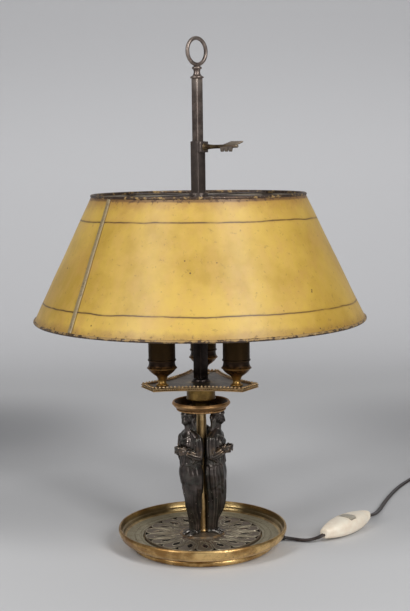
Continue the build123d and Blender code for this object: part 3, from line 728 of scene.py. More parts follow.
def eased(points, radius):
    """The same outline with its sharp corners rounded."""
    count, result = len(points), []
    for k, here in enumerate(points):
        back, ahead = points[k - 1] - here, points[(k + 1) % count] - here
        turn = math.pi - back.angle(ahead, math.pi)
        if turn < math.radians(18):
            result.append(here)
            continue
        cut_back = back.normalized() * min(radius, 0.42 * back.length)
        cut_ahead = ahead.normalized() * min(radius, 0.42 * ahead.length)
        for t in (0.0, 0.33, 0.67, 1.0):
            result.append(here + cut_back * (1 - t) ** 2 + cut_ahead * t**2)
    return result


def rings(rows, closed=True, capped=False):
    """Faces between rows of points. Every row is a closed ring of the same number of points."""
    count, faces = len(rows[0]), []
    points = [p for row in rows for p in row]
    last = len(rows) if closed else len(rows) - 1
    for k in range(last):
        low, high = k * count, (k + 1) % len(rows) * count
        for j in range(count):
            n = (j + 1) % count
            faces.append((low + j, low + n, high + n, high + j))
    if capped:
        faces.append(tuple(range(count))[::-1])
        faces.append(tuple(range((len(rows) - 1) * count, len(rows) * count)))
    return points, faces


def lathe(section, segments=128, wobble=None):
    """A section of (radius, height) turned about Z. wobble gives what is added to a radius."""
    rows = []
    for radius, height in section:
        row = []
        for j in range(segments):
            angle = 2 * math.pi * j / segments
            reach = radius + (wobble(radius, height, angle) if wobble else 0.0)
            row.append(Vector((reach * math.cos(angle), reach * math.sin(angle), height)))
        rows.append(row)
    return rings(rows)


def sweep(path, section, closed=False, up=Vector((0, 0, 1))):
    """A section of (side, up) points carried along a path, kept upright."""
    rows = []
    for k, here in enumerate(path):
        back = path[k - 1] if closed or k else here
        ahead = path[(k + 1) % len(path)] if closed or k + 1 < len(path) else here
        side = (ahead - back).cross(up).normalized()
        top = side.cross(ahead - back).normalized()
        rows.append([here + side * u + top * v for u, v in section])
    return rings(rows, closed, capped=not closed)


def circle(radius, count=16, squash=1.0):
    """The points of a circle, or of an ellipse that is squashed in height."""
    return [
        (
            radius * math.cos(2 * math.pi * k / count),
            squash * radius * math.sin(2 * math.pi * k / count),
        )
        for k in range(count)
    ]


def block(width, depth, height, centre=(0, 0, 0)):
    """An eight-cornered block."""
    rows = []
    for z in (-height / 2, height / 2):
        corners = [(-1, -1), (1, -1), (1, 1), (-1, 1)]
        rows.append(
            [Vector((x * width / 2, y * depth / 2, z)) + Vector(centre) for x, y in corners]
        )
    return rings(rows, closed=False, capped=True)


def placed(shape, matrix):
    """The shape moved by a matrix."""
    points, faces = shape
    return [matrix @ p for p in points], faces


def joined(*shapes):
    """Several shapes as one."""
    points, faces = [], []
    for more_points, more_faces in shapes:
        start = len(points)
        points += list(more_points)
        faces += [tuple(start + k for k in face) for face in more_faces]
    return points, faces


def turn_z(angle):
    """A turn about the lamp's axis, in degrees."""
    return Matrix.Rotation(math.radians(angle), 4, "Z")


def to_mesh(name, shape, finish, sharp=35.0):
    """A closed mesh in metres, with outward faces."""
    points, faces = shape
    mesh = bpy.data.meshes.new(name)
    mesh.from_pydata([Vector(p) * MM for p in points], [], faces)
    work = bmesh.new()
    work.from_mesh(mesh)
    bmesh.ops.remove_doubles(work, verts=work.verts, dist=1e-6)
    bmesh.ops.dissolve_degenerate(work, edges=work.edges, dist=1e-7)
    bmesh.ops.recalc_face_normals(work, faces=work.faces)
    work.to_mesh(mesh)
    work.free()
    mesh.materials.append(FINISHES[finish])
    smooth(mesh, sharp)
    return mesh


def smooth(mesh, sharp=35.0):
    """Smooth shading, with edges kept where faces meet at more than an angle."""
    mesh.shade_smooth()
    mesh.set_sharp_from_angle(angle=math.radians(sharp))


def show(name, mesh, body, slot, *nodes):
    """A finished piece that rides on a body and stands for these CAD nodes."""
    piece = bpy.data.objects.new(name, mesh)
    bpy.context.scene.collection.objects.link(piece)
    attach(piece, body)
    if nodes:
        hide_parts(*nodes)
    return piece


def made(name, mesh, modifiers):
    """The mesh after a list of (kind, settings) modifiers."""
    work = bpy.data.objects.new(name + "_work", mesh)
    bpy.context.scene.collection.objects.link(work)
    for kind, settings in modifiers:
        modifier = work.modifiers.new(kind.lower(), kind)
        for key, setting in settings.items():
            setattr(modifier, key, setting)
    graph = bpy.context.evaluated_depsgraph_get()
    result = bpy.data.meshes.new_from_object(work.evaluated_get(graph), depsgraph=graph)
    result.name = name
    bpy.data.objects.remove(work)
    return result


class Pattern(Nodes):
    """A Geometry Nodes tree with named sizes that is run once on a mesh."""

    def __init__(self, name, sizes):
        super().__init__(bpy.data.node_groups.new(name, "GeometryNodeTree"))
        face = self.tree.interface
        face.new_socket("Geometry", in_out="OUTPUT", socket_type="NodeSocketGeometry")
        face.new_socket("Geometry", in_out="INPUT", socket_type="NodeSocketGeometry")
        self.sizes = {}
        for size, value in sizes.items():
            kind = "NodeSocketInt" if isinstance(value, int) else "NodeSocketFloat"
            socket = face.new_socket(size, in_out="INPUT", socket_type=kind)
            self.sizes[size] = (socket.identifier, value)
        entry = self.tree.nodes.new("NodeGroupInput")
        self.entry = {socket.name: Value(self, socket) for socket in entry.outputs if socket.name}

    def run(self, mesh, geometry, finish):
        """Ends the tree with real geometry in one finish, and returns the mesh that it makes."""
        real = self.add("GeometryNodeRealizeInstances", None, {0: geometry})
        smoothed = self.add("GeometryNodeSetShadeSmooth", None, {0: real})
        sockets = {"Geometry": smoothed, "Material": FINISHES[finish]}
        ended = self.add("GeometryNodeSetMaterial", None, sockets)
        leave = self.tree.nodes.new("NodeGroupOutput")
        self.tree.links.new(ended.socket, leave.inputs[0])
        work = bpy.data.objects.new(self.tree.name + "_work", mesh)
        bpy.context.scene.collection.objects.link(work)
        modifier = work.modifiers.new("pattern", "NODES")
        modifier.node_group = self.tree
        for identifier, value in self.sizes.values():
            modifier[identifier] = value
        graph = bpy.context.evaluated_depsgraph_get()
        result = bpy.data.meshes.new_from_object(work.evaluated_get(graph), depsgraph=graph)
        result.name = self.tree.name
        bpy.data.objects.remove(work)
        return result


def round_the_axis(name, mesh, count, finish, phase=0.0):
    """Copies of a mesh turned about Z in equal steps."""
    p = Pattern(name, {"Count": count, "Phase": math.radians(phase)})
    points = p.add("GeometryNodePoints", None, {"Count": p.entry["Count"]})
    index = p.add("GeometryNodeInputIndex")
    angle = index * (2 * math.pi) / p.entry["Count"] + p.entry["Phase"]
    turn = p.add("ShaderNodeCombineXYZ", None, {"Z": angle})
    sockets = {
        "Points": points,
        "Instance": p.entry["Geometry"],
        "Rotation": p.add("FunctionNodeEulerToRotation", None, {0: turn}),
    }
    return p.run(mesh, p.add("GeometryNodeInstanceOnPoints", None, sockets), finish)


def in_a_row(name, mesh, count, step, finish):
    """Copies of a mesh in a row along X."""
    p = Pattern(name, {"Count": count, "Step": step * MM})
    points = p.add("GeometryNodePoints", None, {"Count": p.entry["Count"]})
    place = p.add(
        "ShaderNodeCombineXYZ", None, {0: p.add("GeometryNodeInputIndex") * p.entry["Step"]}
    )
    spread = p.add("GeometryNodeSetPosition", None, {"Geometry": points, "Position": place})
    sockets = {"Points": spread, "Instance": p.entry["Geometry"]}
    return p.run(mesh, p.add("GeometryNodeInstanceOnPoints", None, sockets), finish)


def beads_along(name, path, spacing, radius, finish, flat=0.8):
    """Beads along a closed path."""
    mesh = bpy.data.meshes.new(name + "_path")
    edges = [(k, (k + 1) % len(path)) for k in range(len(path))]
    mesh.from_pydata([p * MM for p in path], edges, [])
    p = Pattern(name, {"Spacing": spacing * MM, "Radius": radius * MM, "Flatness": flat})
    curve = p.add("GeometryNodeMeshToCurve", None, {0: p.entry["Geometry"]})
    count = p.add("GeometryNodeCurveLength", None, {0: curve}) / p.entry["Spacing"]
    along = p.add("GeometryNodeResampleCurve", None, {"Curve": curve, "Count": count})
    bead = p.add(
        "GeometryNodeMeshIcoSphere", None, {"Radius": p.entry["Radius"], "Subdivisions": 3}
    )
    scale = p.add("ShaderNodeCombineXYZ", None, {0: 1.0, 1: 1.0, 2: p.entry["Flatness"]})
    sockets = {"Points": along, "Instance": bead, "Scale": scale}
    return p.run(mesh, p.add("GeometryNodeInstanceOnPoints", None, sockets), finish)


# ---- Camera and stage ----


def set_camera():
    """A camera 1.34 m in front of the lamp and 0.45 m up, looking slightly down."""
    distance, height, focal = 1341.10, 447.735, 1190.03
    pitch, roll, yaw = 0.124460, -0.0122451, 0.00434773
    long_side = 611
    ahead = Vector(
        (math.sin(yaw) * math.cos(pitch), math.cos(yaw) * math.cos(pitch), -math.sin(pitch))
    )
    level = Vector((math.cos(yaw), -math.sin(yaw), 0))
    upright = level.cross(ahead)
    right = math.cos(roll) * level + math.sin(roll) * upright
    up = -math.sin(roll) * level + math.cos(roll) * upright
    data = bpy.data.cameras.new("camera")
    data.sensor_width = 36.0
    data.lens = focal * data.sensor_width / long_side
    data.clip_start = 0.05
    data.clip_end = 30.0
    camera = bpy.data.objects.new("camera", data)
    matrix = Matrix((right, up, -ahead)).transposed().to_4x4()
    matrix.translation = Vector((0, -distance, height)) * MM
    camera.matrix_world = matrix
    bpy.context.scene.collection.objects.link(camera)
    bpy.context.scene.camera = camera


def set_stage():
    """A pale floor that curves up into a backdrop, three soft lamps and an even sky. The paper's
    colour holds painted light: lighter on the back wall and in front of the lamp, darker higher up
    the wall, and two painted shadows behind the lamp.
    """
    profile = [(-2600.0, 0.0), (1100.0, 0.0)]
    bend, wall = 900.0, 2900.0
    for k in range(1, 13):
        t = math.radians(90 * k / 12)
        profile.append((1100.0 + bend * math.sin(t), bend - bend * math.cos(t)))
    profile.append((1100.0 + bend, wall))
    half_width = 3200.0
    points = [Vector((x, y, z)) for y, z in profile for x in (-half_width, half_width)]
    faces = [(2 * k, 2 * k + 1, 2 * k + 3, 2 * k + 2) for k in range(len(profile) - 1)]
    mesh = bpy.data.meshes.new("backdrop")
    mesh.from_pydata([p * MM for p in points], [], faces)
    mesh.shade_smooth()
    f = Finish("backdrop_paper")
    paper = f.blend(f.cloud(2.0, 2.0), tone(198, 198, 199), tone(201, 201, 202))
    # Painted light: the paper is lighter towards the back wall and darker again higher up it.
    paper = f.blend(f.between(f.y, 850.0, 1500.0), paper, tone(222, 222, 224))
    paper = f.blend(f.between(f.z, 380.0, 900.0), paper, tone(202, 202, 204))
    # Painted shadows: two soft dark patches on the floor behind the lamp, to its left and right.
    for middle, depth in ((-370.0, 0.9), (400.0, 0.6)):
        away = ((f.x - middle) * (f.x - middle) + (f.y - 620.0) * (f.y - 620.0)) ** 0.5
        paper = f.blend(f.between(away, 330.0, 40.0) * depth, paper, tone(158, 158, 160))
    # Painted light: the floor in front of the lamp is lighter.
    paper = f.blend(f.between(f.y, 160.0, -40.0), paper, tone(206, 206, 207))
    mesh.materials.append(f.set({"Base Color": paper, "Roughness": 0.9, "Specular IOR Level": 0.1}))
    clear_behind(f)
    backdrop = bpy.data.objects.new("backdrop", mesh)
    bpy.context.scene.collection.objects.link(backdrop)
    lamp("lamp_left", (-1796, -1796, 1786), (0, 0, 260), (650, 2500), 48.0)
    lamp("lamp_right", (1490, -2057, 1786), (0, 0, 260), (650, 2500), 66.0)
    lamp("lamp_top", (0, 900, 2600), (0, 900, 0), (1800, 1800), 5.0)
    world = bpy.data.worlds.new("studio")
    world.use_nodes = True
    world.node_tree.nodes["Background"].inputs["Color"].default_value = (0.80, 0.81, 0.83, 1)
    sky = Nodes(world.node_tree)
    seen = sky.add("ShaderNodeLightPath", None, None, "Is Camera Ray")
    sky.put(world.node_tree.nodes["Background"].inputs["Strength"], 0.105 + 0.45 * seen)
    bpy.context.scene.world = world
    bpy.context.scene.view_settings.view_transform = "Standard"


def clear_behind(finish):
    """Makes the backdrop one-sided, so that its back hides nothing."""
    behind = finish.add("ShaderNodeNewGeometry", None, None, "Backfacing")
    clear = finish.add("ShaderNodeBsdfTransparent")
    solid = Value(finish, finish.shader.outputs[0])
    mix = finish.add("ShaderNodeMixShader", None, {0: behind, 1: solid, 2: clear})
    finish.put(finish.tree.nodes["Material Output"].inputs["Surface"], mix)


def lamp(name, place, target, size, power):
    """A soft rectangular lamp of a width and a height."""
    data = bpy.data.lights.new(name, "AREA")
    data.shape = "RECTANGLE"
    data.size, data.size_y = (side * MM for side in size)
    data.energy = power
    light = bpy.data.objects.new(name, data)
    direction = Vector(target) - Vector(place)
    aim = direction.to_track_quat("-Z", "Y").to_matrix().to_4x4()
    light.matrix_world = Matrix.Translation(Vector(place) * MM) @ aim
    bpy.context.scene.collection.objects.link(light)


# ---- Cord ----

CORD_WIDTH = 5.4
CORD_HEIGHT = 3.0
TO_SWITCH = [
    (95.8, 6.0, 4.4),
    (106.5, 6.2, 2.6),
    (118.5, 1.5, 2.0),
    (130.5, -2.5, 5.2),
    (141.2, -0.2, 9.5),
    (148.7, 8.7, 9.5),
]
TO_COIL = [
    (190.4, 58.5, 9.5),
    (201.0, 71.1, 9.5),
    (210.0, 84.5, 5.8),
    (221.5, 111.5, 2.1),
    (232.0, 142.5, 1.7),
    (245.5, 178.5, 1.7),
    (261.0, 213.5, 1.7),
    (276.0, 241.5, 1.7),
    (290.0, 262.0, 1.8),
    (308.7, 293.8, 2.0),
]
TO_PLUG = [
    (374.0, 270.0, 2.2),
    (373.0, 252.5, 2.6),
    (368.0, 236.5, 4.2),
    (360.5, 223.0, 6.6),
]


def coil_turns():
    """The put-away length: eight turns in two columns and four layers, wound clockwise."""
    outer, inner = 32.4, 27.0
    layer = 2.95
    first = 1.9
    tracks = [
        (outer, 0),
        (inner, 0),
        (inner, 1),
        (outer, 1),
        (outer, 2),
        (inner, 2),
        (inner, 3),
        (outer, 3),
    ]
    start, per_turn = 125.0, 16
    steps = int((7 * 360 + start) / 360 * per_turn)
    points = []
    for k in range(steps):
        share = k / per_turn
        track = min(int(share), len(tracks) - 1)
        following = tracks[min(track + 1, len(tracks) - 1)]
        ease = min(1.0, max(0.0, (share - track - 0.8) / 0.2))
        radius = tracks[track][0] + (following[0] - tracks[track][0]) * ease
        height = first + layer * (tracks[track][1] + (following[1] - tracks[track][1]) * ease)
        angle = math.radians(start - 360 * share)
        left = (steps - k) / per_turn
        if left < 0.5:
            radius += (38.4 - radius) * (1 - left / 0.5) ** 0.7
            height += (2.6 - height) * (1 - left / 0.5)
        x, y = COIL_PLACE
        points.append((x + radius * math.cos(angle), y + radius * math.sin(angle), height))
    return points


def cord_line():
    """The cord's centreline, read from one smooth spline."""
    route = TO_SWITCH + TO_COIL + coil_turns() + TO_PLUG
    curve = bpy.data.curves.new("cord_route", "CURVE")
    curve.dimensions = "3D"
    curve.resolution_u = 6
    spline = curve.splines.new("NURBS")
    spline.points.add(len(route) - 1)
    for point, place in zip(spline.points, route):
        point.co = (*(Vector(place) * MM), 1.0)
    spline.order_u = 3
    spline.use_endpoint_u = True
    work = bpy.data.objects.new("cord_route", curve)
    bpy.context.scene.collection.objects.link(work)
    graph = bpy.context.evaluated_depsgraph_get()
    mesh = bpy.data.meshes.new_from_object(work.evaluated_get(graph), depsgraph=graph)
    line = [v.co / MM for v in mesh.vertices]
    bpy.data.objects.remove(work)
    bpy.data.meshes.remove(mesh)
    return line


def twin_section():
    """The flat twin flex: two round conductors with a groove between them."""
    radius, offset, count = CORD_HEIGHT / 2, (CORD_WIDTH - CORD_HEIGHT) / 2, 11
    half = [
        (offset + radius * math.cos(t), radius * math.sin(t))
        for t in (math.radians(-126 + 252 * k / (count - 1)) for k in range(count))
    ]
    return half + [(-u, -v) for u, v in half]


def make_cord():
    """The cord's whole length, in one piece, and its centreline."""
    line = cord_line()
    mesh = to_mesh("cord", sweep(line, twin_section()), "flex", 50.0)
    nodes = ("flex_to_switch", "flex_to_coil", "flex_coil", "flex_to_plug")
    return show("cord", mesh, "lamp", "cord_brown", *nodes), line


def make_tie():
    """A flat band round the coil that holds its turns together."""
    angle, radius = 250.0, 29.7
    side, low, high, corner = 6.4, 0.25, 13.2, 2.0
    path = []
    for u, v, start in ((1, 1, 0), (-1, 1, 90), (-1, -1, 180), (1, -1, 270)):
        for k in range(5):
            t = math.radians(start + 90 * k / 4)
            middle = (side - corner) * u, (high - corner if v > 0 else low + corner)
            path.append(
                Vector(
                    (radius + middle[0] + corner * math.cos(t), 0, middle[1] + corner * math.sin(t))
                )
            )
    width, thick = 6.0, 0.4
    section = [
        (-thick / 2, -width / 2),
        (thick / 2, -width / 2),
        (thick / 2, width / 2),
        (-thick / 2, width / 2),
    ]
    band = sweep(path, section, closed=True, up=Vector((0, 1, 0)))
    tab = placed(block(7.0, 6.0, 0.8), Matrix.Translation((radius + 1.5, 0, high + 0.35)))
    place = Matrix.Translation((*COIL_PLACE, 0)) @ turn_z(angle)
    return show(
        "cord_tie",
        to_mesh("cord_tie", placed(joined(band, tab), place), "rubber"),
        "lamp",
        "bushing_rubber",
    )


# ---- Base ----

PETALS = 18
TRAY_FLOOR = 12.2
WELL_R = 68.9
WELL_FLOOR = 8.0
ROSETTE_R = 67.5
ROSETTE_LOW = 9.0
ROSETTE_TOP = 14.2
SLIT_REACH = 49.6
OUTER_TURN = 2.0
INNER_TURN = 13.0
SLIT_SLANT = 8.0


def make_tray():
    """The pressed tray: foot, rim, stepped inside and the well for the rosette."""
    section = outline(
        (79.1, 0.0),
        (80.8, 0.9),
        (83.2, 4.2, 82.3, 7.0),
        (81.7, 7.5),
        (81.7, 8.1),
        (85.6, 8.8),
        (86.6, 9.0),
        (93.4, 12.0, 96.4, 17.9),
        (97.1, 18.6),
        (97.1, 19.2),
        (97.6, 21.4, 97.0, 23.2),
        (96.0, 24.0, 94.7, 23.3),
        (94.3, 20.0),
        (93.4, 17.7),
        (92.2, 17.3),
        (91.6, 16.6),
        (90.6, 14.4),
        (89.6, 14.0),
        (88.6, 13.1),
        (86.6, TRAY_FLOOR),
        (80.2, TRAY_FLOOR),
        (79.1, 11.4, 78.0, TRAY_FLOOR),
        (73.6, TRAY_FLOOR),
        (72.5, 11.4, 71.4, TRAY_FLOOR),
        (WELL_R, TRAY_FLOOR),
        (WELL_R, ROSETTE_LOW),
        (64.5, ROSETTE_LOW),
        (64.5, WELL_FLOOR),
        (COLUMN_BORE, WELL_FLOOR),
        (COLUMN_BORE, 6.4),
        (67.0, 6.4),
        (70.0, 8.6),
        (74.6, 8.6),
        (75.6, 0.0),
    )

    def dent(radius, height, angle):
        return (
            0.25
            * noise.noise(Vector((math.cos(angle), math.sin(angle), height / 30)) * 2.0)
            * radius
            / 97
        )

    shape = lathe(eased(section, 0.35), 224, wobble=dent)
    show("tray", to_mesh("tray", shape, "tray", 40.0), "lamp", "gilt_brass", "base_tray")


def ring_points(radius, count, start=0.0):
    """Points evenly round a circle in the plane."""
    return [
        Vector((radius * math.cos(t), radius * math.sin(t)))
        for t in (math.radians(start) + 2 * math.pi * k / count for k in range(count))
    ]


def slit_points(length, width, turn, count=9):
    """A pointed oval a little aslant to the radius."""
    side = [
        (length * (k / count - 0.5), 0.5 * width * math.sin(math.pi * k / count))
        for k in range(count)
    ]
    slant = Matrix.Rotation(math.radians(SLIT_SLANT), 2)
    spin = Matrix.Rotation(math.radians(turn), 2)
    return [
        spin @ (Vector((SLIT_REACH, 0.0)) + slant @ Vector(p))
        for p in side + [(-u, -v) for u, v in side]
    ]


def corner_points(turn):
    """The three-sided opening between two petal tips and the rim, with hollow sides."""
    loop = outline(
        (57.8, 0.0),
        (62.6, -2.6, 65.2, -6.8),
        (66.5, 0.0, 65.2, 6.8),
        (62.6, 2.6, 57.8, 0.0),
        steps=6,
    )[:-1]
    spin = Matrix.Rotation(math.radians(turn), 2)
    return [spin @ p for p in loop]


def pierced_sheet(name, loops, low, high, edge, finish):
    """A flat sheet inside the first loop, pierced by the others, with rounded edges."""
    curve = bpy.data.curves.new(name, "CURVE")
    curve.dimensions = "2D"
    curve.fill_mode = "BOTH"
    for loop in loops:
        spline = curve.splines.new("POLY")
        spline.points.add(len(loop) - 1)
        for point, place in zip(spline.points, loop):
            point.co = (place.x * MM, place.y * MM, 0.0, 1.0)
        spline.use_cyclic_u = True
    curve.extrude = ((high - low) / 2 - edge) * MM
    curve.bevel_depth = edge * MM
    curve.bevel_resolution = 2
    curve.offset = -edge * MM
    work = bpy.data.objects.new(name + "_work", curve)
    bpy.context.scene.collection.objects.link(work)
    graph = bpy.context.evaluated_depsgraph_get()
    mesh = bpy.data.meshes.new_from_object(work.evaluated_get(graph), depsgraph=graph)
    bpy.data.objects.remove(work)
    mesh.transform(Matrix.Translation((0, 0, (low + high) / 2 * MM)))
    mesh.materials.clear()
    mesh.materials.append(FINISHES[finish])
    smooth(mesh)
    return mesh


def petal_relief():
    """The raised work of one petal: a rounded border, a border round its slit and two veins."""
    half = [
        (66.2, 0.0),
        (65.9, 3.4),
        (64.4, 6.2),
        (61.8, 8.4),
        (58.2, 8.9),
        (50.0, 7.5),
        (42.0, 6.0),
        (33.0, 4.6),
    ]
    level = ROSETTE_TOP - 0.15
    tips = [Vector((x, side * y, level)) for side in (-1, 1) for x, y in half[:: -side]]
    rim, _ = smooth_line(
        [p for k, p in enumerate(tips) if k != len(half)], [0.0] * (2 * len(half) - 1), 4
    )
    eye = [
        Vector((*p, level))
        for p in slit_points(16.8, 7.4, INNER_TURN - OUTER_TURN - 360 / PETALS / 2, 12)
    ]
    veins = [
        smooth_line(
            [
                Vector((28.0, 1.2 * side, level)),
                Vector((36.0, 1.9 * side, level)),
                Vector((43.0, 3.6 * side, level)),
            ],
            [0.0] * 3,
        )[0]
        for side in (-1, 1)
    ]
    ridge = circle(0.65, 10, 0.95)
    thin = circle(0.45, 8, 0.9)
    return joined(
        sweep(rim, ridge), sweep(eye, thin, closed=True), *(sweep(vein, thin) for vein in veins)
    )


def make_rosette():
    """The pierced rosette with its raised petals and a wire round its edge."""
    loops = [ring_points(ROSETTE_R, 180), ring_points(5.8, 40)]
    step = 360 / PETALS
    for k in range(PETALS):
        loops.append(corner_points(k * step + OUTER_TURN))
        loops.append(slit_points(15.0, 6.0, k * step + INNER_TURN))
    sheet = pierced_sheet("rosette", loops, ROSETTE_LOW, ROSETTE_TOP, 0.18, "grey_brass")
    show("rosette", sheet, "lamp", "dull_brass", "pierced_rosette")
    petal = to_mesh("petal", petal_relief(), "rubbed")
    petals = round_the_axis(
        "rosette_petals", petal, PETALS, "rubbed", phase=OUTER_TURN + 180 / PETALS
    )
    show("rosette_petals", petals, "lamp", "dull_brass")
    rim = [
        Vector((67.0 * math.cos(t), 67.0 * math.sin(t), ROSETTE_TOP - 0.2))
        for t in np.linspace(0, 2 * math.pi, 180, endpoint=False)
    ]
    show(
        "rosette_rim",
        to_mesh("rosette_rim", sweep(rim, circle(0.6, 8), closed=True), "grey_brass"),
        "lamp",
        "dull_brass",
    )


def make_plinth():
    """The low stepped plinth under the figures."""
    section = outline(
        (COLUMN_BORE, ROSETTE_TOP),
        (26.4, ROSETTE_TOP),
        (26.5, 14.5, 26.2, 14.8),
        (25.4, 15.0),
        (24.8, 15.3, 24.8, 15.7),
        (24.2, PLINTH_TOP),
        (22.8, PLINTH_TOP),
        (22.4, 15.8),
        (22.0, PLINTH_TOP),
        (COLUMN_BORE, PLINTH_TOP),
    )
    show(
        "plinth",
        to_mesh("plinth", lathe(eased(section, 0.2), 128), "grey_brass"),
        "lamp",
        "dull_brass",
        "figure_plinth",
    )


def make_column():
    """The column tube with a small foot ring."""
    section = outline((3.8, 4.0), (COLUMN_R, 4.0), (COLUMN_R, PLINTH_TOP))
    section += outline(
        (COLUMN_R, 16.2),
        (6.4, 16.8, 6.4, 17.8),
        (5.9, 18.6),
        (COLUMN_R, 20.0),
        (COLUMN_R, 60.0),
        (COLUMN_R, 120.0),
        (COLUMN_R, 190.6),
        (3.8, 190.6),
    )
    show(
        "column",
        to_mesh("column", lathe(section, 64), "column"),
        "lamp",
        "column_brass",
        "column_tube",
    )


# ---- Figures ----


def smooth_line(points, values, per_span=6):
    """A smooth curve through points, with a value carried along it."""
    line, carried = [], []
    count = len(points)
    for k in range(count - 1):
        p0, p1, p2, p3 = (points[min(max(j, 0), count - 1)] for j in (k - 1, k, k + 1, k + 2))
        for step in range(per_span):
            t = step / per_span
            line.append(
                (
                    0.5
                    * (
                        2 * p1
                        + (p2 - p0) * t
                        + (2 * p0 - 5 * p1 + 4 * p2 - p3) * t**2
                        + (3 * p1 - p0 - 3 * p2 + p3) * t**3
                    )
                )
            )
            carried.append(values[k] + (values[k + 1] - values[k]) * t)
    return line + [points[-1]], carried + [values[-1]]


def limb(places, radii, ridges=0, depth=0.0, twist=0.0, flat=1.0, count=30):
    """A closed rounded limb through places. Ridges run along it and may twist round it."""
    line, reach = smooth_line([Vector(p) for p in places], radii)
    first, last = (line[0] - line[1]).normalized(), (line[-1] - line[-2]).normalized()
    caps = ((0.45, 0.88), (0.8, 0.6), (0.98, 0.2))
    start = [(line[0] + first * reach[0] * out, reach[0] * size) for out, size in reversed(caps)]
    end = [(line[-1] + last * reach[-1] * out, reach[-1] * size) for out, size in caps]
    stations = start + list(zip(line, reach)) + end
    side = Vector((0, 1, 0)) if abs(first.y) < 0.8 else Vector((1, 0, 0))
    rows = []
    for k, (here, radius) in enumerate(stations):
        back, ahead = stations[max(k - 1, 0)][0], stations[min(k + 1, len(stations) - 1)][0]
        forward = (ahead - back).normalized()
        side = (side - forward * side.dot(forward)).normalized()
        top = forward.cross(side)
        row = []
        for j in range(count):
            t = 2 * math.pi * j / count
            groove = (
                depth * (abs(math.cos(ridges * t / 2 + twist * k)) ** 0.6 - 0.6) if ridges else 0.0
            )
            row.append(
                here
                + side * (radius + groove) * math.cos(t) * flat
                + top * (radius + groove) * math.sin(t)
            )
        rows.append(row)
    return rings(rows, closed=False, capped=True)


def ball(centre, radii, turns=24, shape=None):
    """An ellipsoid. shape(direction) scales its radius."""
    rows = []
    levels = turns // 2
    for k in range(1, levels):
        tilt = math.pi * k / levels
        row = []
        for j in range(turns):
            t = 2 * math.pi * j / turns
            way = Vector(
                (math.sin(tilt) * math.cos(t), math.sin(tilt) * math.sin(t), math.cos(tilt))
            )
            scale = shape(way) if shape else 1.0
            row.append(
                Vector(centre)
                + Vector((way.x * radii[0], way.y * radii[1], way.z * radii[2])) * scale
            )
        rows.append(row)
    return rings(rows, closed=False, capped=True)


def ease(value, low, high):
    """A smooth step from 0 at low to 1 at high."""
    t = min(1.0, max(0.0, (value - low) / (high - low)))
    return t * t * (3 - 2 * t)


def bell(value, middle, spread):
    """1 at the middle, falling away to both sides over a spread."""
    return math.exp(-(((value - middle) / spread) ** 2))


def body_folds(turn, height):
    """How far the cloth stands out at an angle from the front and a height."""
    front = math.cos(turn / 2) ** 2
    lean = turn + 1.1 * front * (height - 30) / 70 + 0.06 * math.sin(height / 9)
    uneven = 0.65 + 0.7 * noise.noise(Vector((math.cos(lean), math.sin(lean), height / 60)) * 1.7)
    long_folds = (abs(math.cos(5 * lean + 0.8 * math.sin(2 * lean + 1))) ** 0.8 - 0.55) * uneven
    low = (
        ease(height, 103, 92)
        * (0.55 + 0.45 * ease(height, 24, 46))
        * (0.45 + 0.55 * ease(math.cos(turn), -0.9, 0.1))
    )
    across = (height - 84 + 11 * math.sin(turn - 0.5) + 5 * front) / 6.4
    swags = (abs(math.cos(math.pi * across)) ** 0.8 - 0.55) * front * bell(height, 68, 9)
    apron = 0.7 * ease(height, 61 + 17 * front, 62.4 + 17 * front) * ease(height, 98, 86)
    bodice = (
        (abs(math.cos(7 * turn + 0.6 * math.sin(height / 5))) ** 0.8 - 0.5)
        * 0.9
        * ease(height, 98, 101)
        * ease(height, 131, 127)
    )
    hem_line = 98.5 + 1.6 * math.sin(5 * turn) + 1.0 * math.sin(9 * turn + 1)
    overfold = 0.9 * ease(height, hem_line - 0.5, hem_line + 0.4) * ease(height, 118, 108)
    girdle = -0.9 * bell(height, 117.5, 1.1) + 0.35 * bell(height, 119.2, 0.8)
    foot_hem = 0.7 * bell(height, 18.2, 1.6)
    return 2.3 * low * long_folds + 0.45 * swags + apron + bodice + overfold + girdle + foot_hem


